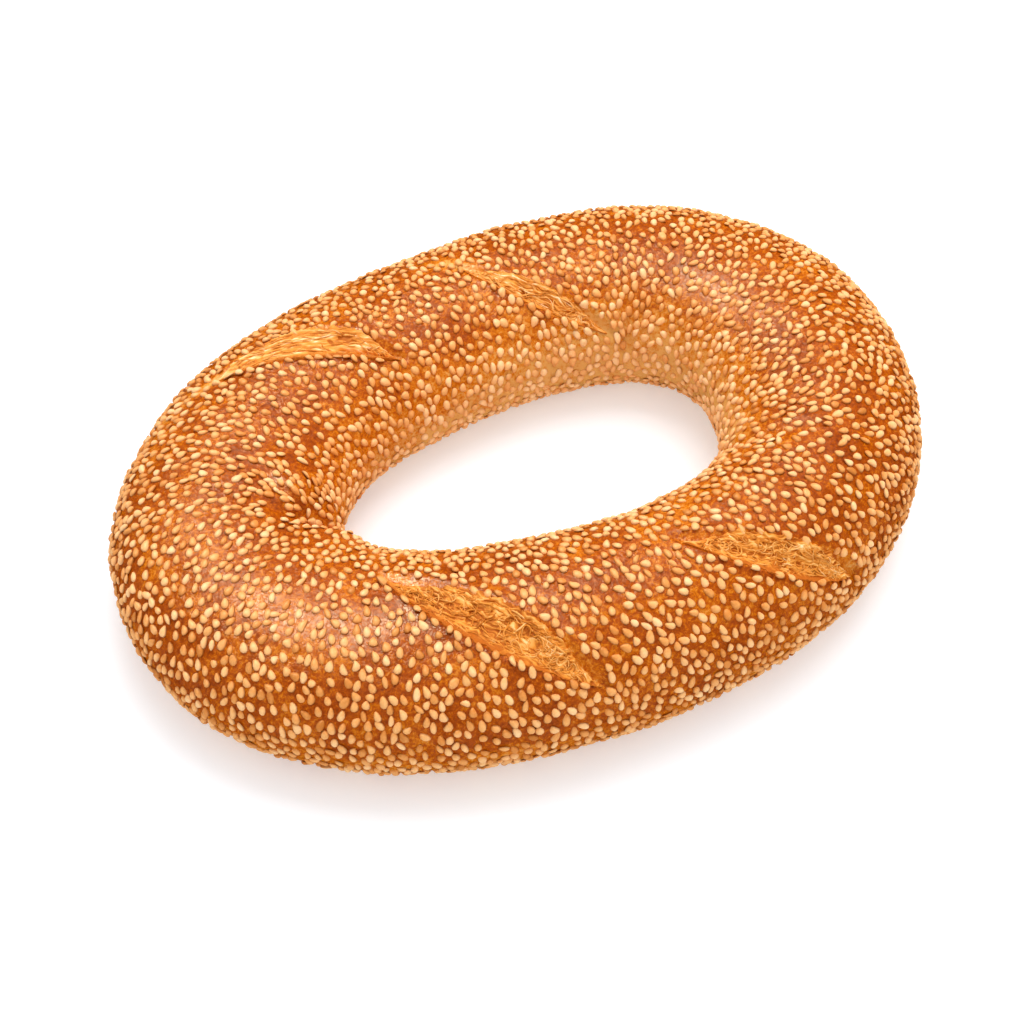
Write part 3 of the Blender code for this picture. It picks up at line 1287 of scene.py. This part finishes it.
    def bleached(self, ahead: Array) -> Array:
        """Extra paleness of the crumb where the slash opened last, near its end."""
        share = ahead / self.length
        return self.slash.pale_end * soft_step((share - 0.5) / 0.25) * soft_step((1.0 - share) / 0.1)

    @staticmethod
    def end_caps(rows: int, columns: int) -> Array:
        """Quads that close the two open ends of a tube of points.

        Args:
            rows: number of rings of points.
            columns: number of points in a ring.

        Returns:
            Corner numbers, one row of four for each quad.
        """
        half = columns // 2
        step = np.arange(half - 1)
        first = np.stack((step, step + 1, columns - 2 - step, columns - 1 - step), axis=-1)
        last = first[:, ::-1] + (rows - 1) * columns
        return np.concatenate((first, last))

    def trace(self, random: np.random.Generator) -> tuple[Array, Array]:
        """Lines of the strands, each following the pull from its start.

        Every step goes on by a share of the strand's length, at the angle
        of the pull there plus the strand's own turn and bend.

        Args:
            random: source of the random draws.

        Returns:
            Distance ahead and aside for each strand and point.
        """
        count = self.slash.strands
        first, last = self.slash.crumb
        ahead = (first + (last - first) * random.uniform(0.02, 0.98, count)) * self.length
        place = random.uniform(-0.92, 0.92, count)
        place = np.where(random.random(count) < 0.25, np.abs(place), place)
        aside = place * self.half_width(ahead) + self.hug(ahead)
        step = random.uniform(*self.strand_length, count) / (self.strand_points - 1)
        own = random.normal(0.0, self.strand_turn, count)
        own = own + math.pi * (random.random(count) < 0.5)
        bend = random.normal(0.0, self.strand_bend * self.slash.curl, count)
        lines = []
        for number in range(self.strand_points):
            lines.append((ahead, aside))
            turn = self.pull(ahead, aside) + own + bend * number
            ahead = ahead + step * np.cos(turn)
            aside = aside + step * np.sin(turn)
        ahead, aside = np.moveaxis(np.array(lines), 0, -1)
        middle = 0.5 * (first + last) * self.length
        ahead = middle + self.held(ahead - middle, 0.49 * (last - first) * self.length)
        hug = self.hug(ahead)
        return ahead, hug + self.held(aside - hug, np.maximum(0.97 * self.half_width(ahead), 0.1))

    @staticmethod
    def held(distance: Array, limit: Array | float) -> Array:
        """Distances bent so that they never pass a limit: a tanh of them."""
        return limit * np.tanh(distance / limit)

    def strands(self) -> bpy.types.Object:
        """Thin curled strands of crumb that lie on the torn surface.

        A tube of four sides follows each line, thin at both ends, and
        arches over the crumb as a half wave of its length.

        Returns:
            All strands of the slash in one mesh.
        """
        random = np.random.default_rng(900 + self.seed)
        count = self.slash.strands
        ahead, aside = self.trace(random)
        step = np.linspace(-0.5, 0.5, self.strand_points)[None, :]
        place = (aside - self.hug(ahead)) / np.maximum(self.half_width(ahead), 0.1)
        loose = self.loose(ahead, aside)
        arch = random.uniform(*self.strand_arch, count)[:, None] * np.cos(math.pi * step) * loose
        rim = soft_step((np.abs(place) - 0.7) / 0.3)
        ridge = self.ridge * self.strand_ridge * (0.45 + 0.55 * loose)
        height = self.lift + self.rise(ahead, place) + ridge
        height = (height + arch) * (1.0 - 0.8 * rim)
        line = self.surface(ahead, aside, height)
        along = unit(np.gradient(line, axis=1))
        upward = self.surface(ahead, aside, height + 1.0) - line
        side = unit(np.cross(along, upward))
        upward = np.cross(side, along)
        thin, thick = self.strand_radius
        radius = thin + (thick - thin) * random.random(count)[:, None] ** 2
        radius = radius * (0.3 + 0.7 * np.cos(math.pi * step) ** 0.6)
        angle = np.linspace(0.0, TURN, self.strand_sides, endpoint=False)
        ring = (np.cos(angle)[:, None] * side[:, :, None, :]
                + np.sin(angle)[:, None] * upward[:, :, None, :])
        points = line[:, :, None, :] + ring * (radius * MM)[:, :, None, None]
        tube = grid_quads(self.strand_points, self.strand_sides, False, True)[:, (1, 2, 3, 0)]
        ends = np.array(((0, 1, 2, 3), (3, 2, 1, 0)))
        ends[1] += (self.strand_points - 1) * self.strand_sides
        one = np.concatenate((tube, ends))
        size = self.strand_points * self.strand_sides
        faces = (one[None] + (np.arange(count) * size)[:, None, None]).reshape(-1, 4)
        # A strand's colour is its own random tone plus painted light: lighter where it arches up,
        # darker near the rim, and a little lighter on its upper side than below.
        shade = random.normal(self.strand_shade, self.strand_shade_scatter, count)
        shade = self.slash.tone + np.clip(shade, 0.08, 0.8)[:, None]
        shade = shade + 0.3 * arch - 0.25 * rim + self.bleached(ahead)
        shade = shade[:, :, None] + 0.10 * np.sin(angle)
        return mesh_piece(
            f"crumb_strands_{self.slash.name}",
            points.reshape(-1, 3),
            faces,
            self.material,
            {"lift": shade.ravel()},
        )


@dataclass(frozen=True)
class Varied:
    """A size in millimetres that differs from seed to seed, within two limits."""

    middle: float
    scatter: float
    low: float
    high: float

    def draw(self, random: np.random.Generator, count: int) -> Array:
        """Sizes of a number of seeds, spread normally about the middle one."""
        return self.middle * np.clip(random.normal(1.0, self.scatter, count), self.low, self.high)


@dataclass
class SesameSeeds:
    """The sesame seeds of the crust, one joined mesh for each shade."""

    shape: LoafShape
    skin: CrustSkin
    length: Varied = Varied(2.75, 0.12, 0.72, 1.28)
    width: Varied = Varied(1.80, 0.11, 0.74, 1.24)
    thickness: Varied = Varied(1.15, 0.12, 0.7, 1.3)
    height: float = 0.2
    height_scatter: float = 0.06
    slimming: float = 0.13
    bending: float = 0.10
    per_square_cm: float = 9.9
    outer_extra: float = 0.16
    inner_extra: float = 0.20
    patchiness: Noises = ((0.22, 17.0, 81),)
    crease_sparse: float = 0.14
    slash_rim: float = 0.66
    gap: float = 2.0
    gap_along: float = 1.3
    lowest: float = 1.5
    bare: tuple[Angles, ...] = ((157, 128), (176, 118))
    bare_radius: float = 5.0
    whorls: tuple[tuple[Angles, float], ...] = (((337, 76), 75.0), ((185, 52), 65.0))
    whorl_radius: float = 16.0
    rim_spread: float = 0.16
    rim_drop: float = -0.42
    tries: int = 150000
    overhang: float = 0.8
    batch: int = 160
    tilt: float = 0.13
    roll: float = 0.08
    near_turn: float = 0.32
    drift: Noises = ((0.5, 15.0, 91),)
    heading_scatter: float = 0.42
    fan_scatter: float = 0.22
    tone: float = 0.42
    tone_scatter: float = 0.24
    tone_in_shade: float = 0.9
    pale_share: float = 0.40
    toasted_share: float = 0.20
    seed: int = 2024

    def density(self, around: Array, up: Array, points: Array) -> Array:
        """Seeds for each square centimetre, more on the walls than on top.

        Seeds roll to the outer side and the hole when the dough is dipped,
        are spread by the swelling crest, and are missing in the slashes,
        along the bottom of the creases and on the bare patches.

        Args:
            around: way round the ring in radians.
            up: way up the side in radians.
            points: places in millimetres, last axis of three.

        Returns:
            One number for each place.
        """
        rise = np.degrees(up)
        outer = soft_step((48.0 - rise) / 40.0)
        inner = soft_step((rise - 118.0) / 30.0)
        level = self.per_square_cm * (1.0 + self.outer_extra * outer + self.inner_extra * inner)
        level = level * (1.0 + summed_noise(points, self.patchiness))
        for pucker in self.shape.puckers:
            level = level * (1.0 + pucker.crowd * self.gathered(pucker, points))
        for crease in self.shape.creases:
            relief = self.shape.crease_relief(crease, around, up)
            level = level * (1.0 + self.crease_sparse * relief)
        for place in self.bare:
            away = self.shape.away(place, points)
            level = level * soft_step(away / self.bare_radius - 0.4)
        bare = self.shape.open_slash(around, up) > self.slash_rim
        return level * ~bare * (points[..., 2] > self.lowest)

    def gathered(self, pucker: Pucker, points: Array) -> Array:
        """How far a place belongs to a pucker: 1 in its middle, 0 outside."""
        away = self.shape.away(pucker.middle, points)
        return soft_step(1.6 - 1.3 * away / pucker.radius)

    def candidates(self, random: np.random.Generator) -> tuple[Array, Array, int]:
        """Random places in line with the density, and how many seeds fit.

        Args:
            random: source of the random draws.

        Returns:
            Angles round and up, and the number of seeds that the density
            summed over the crust gives.
        """
        around = random.uniform(0.0, TURN, self.tries)
        up = random.uniform(-self.overhang, math.pi + self.overhang, self.tries)
        along, across = self.shape.tangents(around, up)
        area = np.linalg.norm(np.cross(along, across), axis=-1)
        points = self.shape.loaf(around, up)
        share = self.density(around, up, points) * area / 100.0
        wanted = int(share.mean() * TURN * (math.pi + 2.0 * self.overhang))
        kept = random.random(self.tries) < share / share.max()
        return around[kept], up[kept], wanted

    def axes(self, around: Array, up: Array) -> tuple[Array, Array]:
        """Unit ways round the ring and up its side."""
        along, across = self.shape.tangents(around, up)
        return unit(along), unit(across)

    def headings(
        self, random: np.random.Generator, around: Array, up: Array, points: Array
    ) -> Array:
        """Angle of each seed on the crust, from lying along the ring.

        Seeds lie across the ring, turned a little more on the near side,
        and far more in the whorls.  A slow noise turns neighbours together,
        a random part turns each by itself, and in a pucker they point to
        where the dough is gathered.

        Args:
            random: source of the random draws.
            around: way round the ring in radians.
            up: way up the side in radians.
            points: places in millimetres, last axis of three.

        Returns:
            Angles in radians.
        """
        turn = 0.5 * math.pi + self.near_turn * (0.5 - 0.5 * np.cos(around - 1.4))
        turn = turn + summed_noise(points, self.drift)
        turn = turn + random.normal(0.0, self.heading_scatter, len(points))
        for place, degrees in self.whorls:
            away = self.shape.away(place, points)
            turn = turn + math.radians(degrees) * soft_step(1.4 - away / self.whorl_radius)
        along, across = self.axes(around, up)
        for pucker in self.shape.puckers:
            way = self.shape.loaf(*np.radians(pucker.point)) - points
            fan = np.arctan2(np.sum(way * across, axis=-1), np.sum(way * along, axis=-1))
            fan = fan + random.normal(0.0, self.fan_scatter, len(points))
            turn = np.where(self.gathered(pucker, points) > 0.4, fan, turn)
        return turn

    def spread(self, random: np.random.Generator) -> tuple[Array, Array, Array]:
        """Choose places with no seed in another, batch by batch.

        A place is taken when every taken seed is further than the gap,
        with lengths along the new seed divided by gap_along.  Seeds on edge
        in a pucker may lie closer.

        Args:
            random: source of the random draws.

        Returns:
            Angles round and up and each seed's heading.
        """
        around, up, wanted = self.candidates(random)
        points = self.shape.loaf(around, up).astype(np.float32)
        turn = self.headings(random, around, up, points)
        along, across = self.axes(around, up)
        ways = along * np.cos(turn)[:, None] + across * np.sin(turn)[:, None]
        gaps = np.full(len(points), self.gap)
        for pucker in self.shape.puckers:
            gaps = gaps * (1.0 - 0.35 * pucker.on_edge * self.gathered(pucker, points))
        taken = np.zeros(0, np.int64)
        for batch in np.array_split(np.arange(len(points)), max(1, len(points) // self.batch)):
            clear = batch[self.is_clear(points, ways, gaps, batch, taken)]
            fresh: list[int] = []
            for index in clear:
                one = np.array([index])
                if self.is_clear(points, ways, gaps, one, np.array(fresh, np.int64))[0]:
                    fresh.append(int(index))
            taken = np.concatenate((taken, np.array(fresh, np.int64)))
            if len(taken) >= wanted:
                break
        taken = taken[:wanted]
        LOG.info("seeds: %d wanted, %d placed", wanted, len(taken))
        return around[taken], up[taken], turn[taken]

    def is_clear(
        self, points: Array, ways: Array, gaps: Array, new: Array, taken: Array
    ) -> Array:
        """Which new places are clear of all the taken ones.

        Args:
            points: places in millimetres, last axis of three.
            ways: unit way along each seed.
            gaps: wanted gap round each seed in millimetres.
            new: numbers of the new places.
            taken: numbers of the taken places.

        Returns:
            True where a new place is clear.
        """
        if len(taken) == 0:
            return np.ones(len(new), bool)
        way = points[taken][None] - points[new][:, None]
        ahead = np.einsum("ijk,ik->ij", way, ways[new])
        square = np.einsum("ijk,ijk->ij", way, way)
        stretched = square - ahead ** 2 * (1.0 - 1.0 / self.gap_along ** 2)
        return stretched.min(axis=1) > gaps[new] ** 2

    def drop(self) -> tuple[Array, Array, Array, Array]:
        """One seed of unit size: a plump drop with a round and a slim end.

        Rings of points stand across the length x; at x the half width is
        half the root of 1 - x^2 times 1 - 0.22 x.  Low on the hull a rim of
        glaze spreads outwards to the crust, and the underside is flat.

        Returns:
            Points, faces with four corners, the way along from 0 to 1, and
            the nearness to the glazed rim from 0 to 1.
        """
        station = np.array((-0.94, -0.60, 0.0, 0.58, 0.93))
        half = 0.5 * np.sqrt(1.0 - station ** 2) * (1.0 - 0.22 * station)
        angle = np.radians((68.0, 112.0, 154.0, 184.0))
        out = np.concatenate((np.cos(angle), (-1.0 - self.rim_spread,)))
        high = np.concatenate((np.sin(angle), (self.rim_drop,)))
        out = np.concatenate((out[1:], -out[:0:-1]))
        high = np.concatenate((high[1:], high[:0:-1]))
        edge = np.array((0.0, 0.12, 0.8, 1.0, 1.0, 0.8, 0.12, 0.0))
        longer = 1.0 + 0.1 * (edge > 0.9)
        rings = np.stack(
            (
                0.5 * station[:, None] * longer,
                half[:, None] * out,
                np.where(edge > 0.9, 0.5 * self.rim_drop, half[:, None] * high),
            ),
            axis=-1,
        ).reshape(-1, 3)
        sides = len(edge)
        quads = grid_quads(len(station), sides, False, True)
        step = np.arange(1, sides - 1, 2)
        cap = np.stack((0 * step, step, step + 1, (step + 2) % sides), axis=-1)
        last = cap[:, ::-1] + (len(station) - 1) * sides
        faces = np.concatenate((quads, cap, last))[:, (0, 3, 2, 1)]  # so that they point out
        along = np.repeat((station + 1.0) / 2.0, sides)
        return rings, faces, along, np.tile(edge, len(station))

    def frames(
        self, random: np.random.Generator, around: Array, up: Array, turn: Array
    ) -> Array:
        """Length, side and top way of each seed, as rows of a turn matrix.

        A seed lies flat on the crust, tilted a little, and rolls on edge in
        a pucker.

        Args:
            random: source of the random draws.
            around: way round the ring in radians.
            up: way up the side in radians.
            turn: each seed's heading in radians.

        Returns:
            Three rows of three for each seed.
        """
        normal = self.shape.crust_normal(around, up)
        along, across = self.axes(around, up)
        way = along * np.cos(turn)[:, None] + across * np.sin(turn)[:, None]
        normal = unit(normal + random.normal(0.0, self.tilt, normal.shape))
        side = unit(np.cross(normal, way))
        roll = random.normal(0.0, self.roll, len(around))
        points = self.shape.loaf(around, up)
        for pucker in self.shape.puckers:
            lean = pucker.on_edge * random.uniform(0.3, 0.85, len(around))
            roll = roll + lean * self.gathered(pucker, points)
        roll = roll[:, None]
        top = normal * np.cos(roll) + side * np.sin(roll)
        side = side * np.cos(roll) - normal * np.sin(roll)
        return np.stack((np.cross(side, top), side, top), axis=1)

    def build(self) -> list[bpy.types.Object]:
        """Make every seed, sorted into its shade.

        Each seed is the drop scaled by its own length, width and thickness,
        turned to its frame, with about a third of its thickness in the
        crust.  It is slimmer towards one end and bent sideways a little, by
        a straight line and a square of the way along.

        Returns:
            The three pieces, one for each shade.
        """
        random = np.random.default_rng(self.seed)
        around, up, turn = self.spread(random)
        count = len(around)
        frames = self.frames(random, around, up, turn)
        varied = (self.length, self.width, self.thickness)
        sizes = np.stack([size.draw(random, count) for size in varied], axis=-1)
        height = self.height + random.normal(0.0, self.height_scatter, count)
        normal = self.shape.outward(around, up)
        crust = self.shape.crust(around, up)
        bake = self.skin.bake(around, up, crust)
        centre = crust + normal * height[:, None] + self.shape.shift()
        rings, faces, tip, edge = self.drop()
        slim = random.normal(0.0, self.slimming, count)
        bend = random.normal(0.0, self.bending, count)
        drops = np.broadcast_to(rings, (count, *rings.shape)).copy()
        drops[..., 1] *= 1.0 - 2.0 * slim[:, None] * drops[..., 0]
        drops[..., 1] += bend[:, None] * (4.0 * drops[..., 0] ** 2 - 0.5)
        local = drops * sizes[:, None, :]
        points = (centre[:, None, :] + np.einsum("nij,njk->nik", local, frames)) * MM
        points[..., 2] = np.maximum(points[..., 2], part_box(NODE)[0].z)
        tone = random.normal(self.tone, self.tone_scatter, count)
        # Seeds are paler on pale, less baked crust; on the hole's shaded wall this is also painted
        # light that lifts them.
        tone = np.clip(tone + self.tone_in_shade * np.minimum(bake - 0.5, 0.0), 0.0, 1.0)
        shade = random.random(count)
        shades = {
            SeedShade.PALE: shade < self.pale_share,
            SeedShade.GOLDEN: (shade >= self.pale_share) & (shade < 1.0 - self.toasted_share),
            SeedShade.TOASTED: shade >= 1.0 - self.toasted_share,
        }
        pieces = []
        for one, chosen in shades.items():
            number = int(chosen.sum())
            offsets = (np.arange(number) * len(rings))[:, None, None]
            pieces.append(
                mesh_piece(
                    one.value.name,
                    points[chosen].reshape(-1, 3),
                    (faces[None] + offsets).reshape(-1, 4),
                    one.value.material(),
                    {
                        "tone": np.repeat(tone[chosen], len(rings)),
                        "tip": np.tile(tip, number),
                        # The rim's painted contact shade is weaker on pale crust.
                        "edge": (edge[None] * (0.15 + 0.85 * bake[chosen, None])).ravel(),
                    },
                )
            )
        return pieces


# ------------------------------------------------------------- the studio


@dataclass
class Studio:
    """Camera, floor and soft light round the bread.

    Turn is in radians and elevation in degrees, distances of the camera and
    its shifts right and up are in millimetres, lamps and floor in metres.
    The focal length is in millimetres on a sensor 36 mm wide.
    """

    shape: LoafShape
    turn: float = 0.464
    elevation: float = 50.0
    distance: float = 585.0
    focal: float = 3.529 * 585.0 * 36.0 / 1024.0
    right: float = 6.15
    up: float = 2.63
    lamp_distance: float = 1.2
    key_watts: float = 11.8
    key_size: float = 1.0
    glint_watts: float = 38.0
    glint_size: float = 0.4
    glint_colour: str = "#FFEFC6"
    dome: float = 0.73
    dome_top: float = 0.5
    dome_way: tuple[float, float, float] = (0.1, -0.12, 0.9)
    key_way: tuple[float, float, float] = (0.12, 0.45, 0.86)
    glint_way: tuple[float, float, float] = (-0.34, 0.25, 0.91)
    floor_half: float = 3.0
    floor_roughness: float = 0.9
    floor_colour: tuple[float, float, float, float] = (0.70, 0.74, 0.78, 1.0)
    floor_glow: float = 0.34

    def axes(self) -> tuple[Vector, Vector, Vector]:
        """Right, up and forward of the camera, as unit vectors.

        Returns:
            The three unit vectors.
        """
        tilt = math.radians(self.elevation)
        deep = Vector((math.sin(self.turn), math.cos(self.turn), 0.0))
        right = Vector((math.cos(self.turn), -math.sin(self.turn), 0.0))
        forward = deep * math.cos(tilt) - Vector((0.0, 0.0, math.sin(tilt)))
        up = deep * math.sin(tilt) + Vector((0.0, 0.0, math.cos(tilt)))
        return right, up, forward

    def camera(self) -> None:
        """Stand the camera over the front of the ring, on its left side."""
        right, up, forward = self.axes()
        place = Vector(self.shape.shift()) - forward * self.distance
        place = place - right * self.right - up * self.up
        data = bpy.data.cameras.new("camera")
        data.sensor_width = 36.0
        data.lens = self.focal
        data.clip_start = 0.01
        camera = bpy.data.objects.new("camera", data)
        turned = Matrix((right, up, -forward)).transposed().to_4x4()
        turned.translation = place * MM
        camera.matrix_world = turned
        bpy.context.scene.collection.objects.link(camera)
        bpy.context.scene.camera = camera

    def area_light(
        self, name: str, way: tuple[float, float, float], size: float, watts: float
    ) -> bpy.types.Object:
        """A square soft light that faces the bread.

        Args:
            name: the light's name.
            way: the way to it, as for the method way.
            size: its side in metres.
            watts: its power.

        Returns:
            The new lamp.
        """
        place = self.way(*way) * self.lamp_distance
        data = bpy.data.lights.new(name, 'AREA')
        data.shape = 'SQUARE'
        data.size = size
        data.energy = watts
        lamp = bpy.data.objects.new(name, data)
        lamp.location = place
        lamp.rotation_euler = (-place).to_track_quat('-Z', 'Y').to_euler()
        bpy.context.scene.collection.objects.link(lamp)
        return lamp

    def way(self, aside: float, ahead: float, high: float) -> Vector:
        """Unit way with these shares to the camera's right, away from it and up.

        Args:
            aside: share to the camera's right.
            ahead: share away from the camera.
            high: share upwards.

        Returns:
            The unit way.
        """
        right, _, forward = self.axes()
        deep = Vector((forward.x, forward.y, 0.0)).normalized()
        return (right * aside + deep * ahead + Vector((0.0, 0.0, high))).normalized()

    def lights(self) -> None:
        """A white dome, a wide soft key light and a lamp for the crust's shine.

        The dome's light is an even part plus a part that falls with the
        third power of the cosine from its middle, a little in front of the
        top.  The key light stands over the back and casts the soft shadow.
        Only the glint lamp, over the back left, mirrors in the crust, as
        one window does in a room with dull walls.
        """
        world = bpy.data.worlds.new("studio_dome")
        world.use_nodes = True
        tree = world.node_tree
        sky = add_node(tree, "ShaderNodeTexCoord", output="Generated")
        ways = {0: sky, 1: self.way(*self.dome_way)}
        facing = add_node(tree, "ShaderNodeVectorMath", ways, "Value", operation='DOT_PRODUCT')
        facing = add_node(tree, MATH, {0: facing, 1: 0.0}, operation='MAXIMUM')
        glow = add_node(tree, MATH, {0: facing, 1: 3.0}, operation='POWER')
        strength = add_node(
            tree, MATH, {0: glow, 1: self.dome_top, 2: self.dome}, operation='MULTIPLY_ADD'
        )
        background = tree.nodes["Background"]
        background.inputs["Color"].default_value = (1.0, 1.0, 1.0, 1.0)
        tree.links.new(strength, background.inputs["Strength"])
        world.cycles_visibility.glossy = False
        bpy.context.scene.world = world
        key = self.area_light("key", self.key_way, self.key_size, self.key_watts)
        key.visible_glossy = False
        glint = self.area_light("glint", self.glint_way, self.glint_size, self.glint_watts)
        glint.data.color = linear(self.glint_colour)[:3]
        glint.visible_diffuse = False

    def floor(self) -> None:
        """A plain white sheet under the bread, lit a little from below.

        Matt paper gives the eye a bright, even ground with one soft shadow.
        """
        half = self.floor_half
        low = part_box(NODE)[0].z - 0.2 * MM
        mesh = bpy.data.meshes.new("floor")
        corners = [(-half, -half, low), (half, -half, low), (half, half, low), (-half, half, low)]
        mesh.from_pydata(corners, [], [(0, 1, 2, 3)])
        material = bpy.data.materials.new("white_paper")
        material.use_nodes = True
        shader = material.node_tree.nodes["Principled BSDF"]
        shader.inputs["Base Color"].default_value = self.floor_colour
        shader.inputs["Roughness"].default_value = self.floor_roughness
        shader.inputs["Specular IOR Level"].default_value = 0.0
        shader.inputs["Emission Color"].default_value = (1.0, 1.0, 1.0, 1.0)
        shader.inputs["Emission Strength"].default_value = self.floor_glow
        mesh.materials.append(material)
        sheet = bpy.data.objects.new("floor", mesh)
        bpy.context.scene.collection.objects.link(sheet)
        sheet.visible_glossy = False

    def build(self) -> None:
        """Set up the camera, the floor, the light and a plain colour view."""
        self.camera()
        self.floor()
        self.lights()
        bpy.context.scene.view_settings.view_transform = 'Standard'


def main() -> None:
    """Build the studio, the crust, the torn slashes and the seeds."""
    logging.basicConfig(level=logging.INFO, format="%(name)s %(message)s")
    shape = LoafShape()
    Studio(shape).build()
    skin = CrustSkin(shape)
    skin.build()
    crumb = TornCrumb().material()
    for number, slash in enumerate(shape.slashes):
        torn = TornSlash(shape, slash, crumb, number + 1)
        torn.patch()
        torn.strands()
    SesameSeeds(shape, skin).build()


if __name__ == "__main__":
    main()
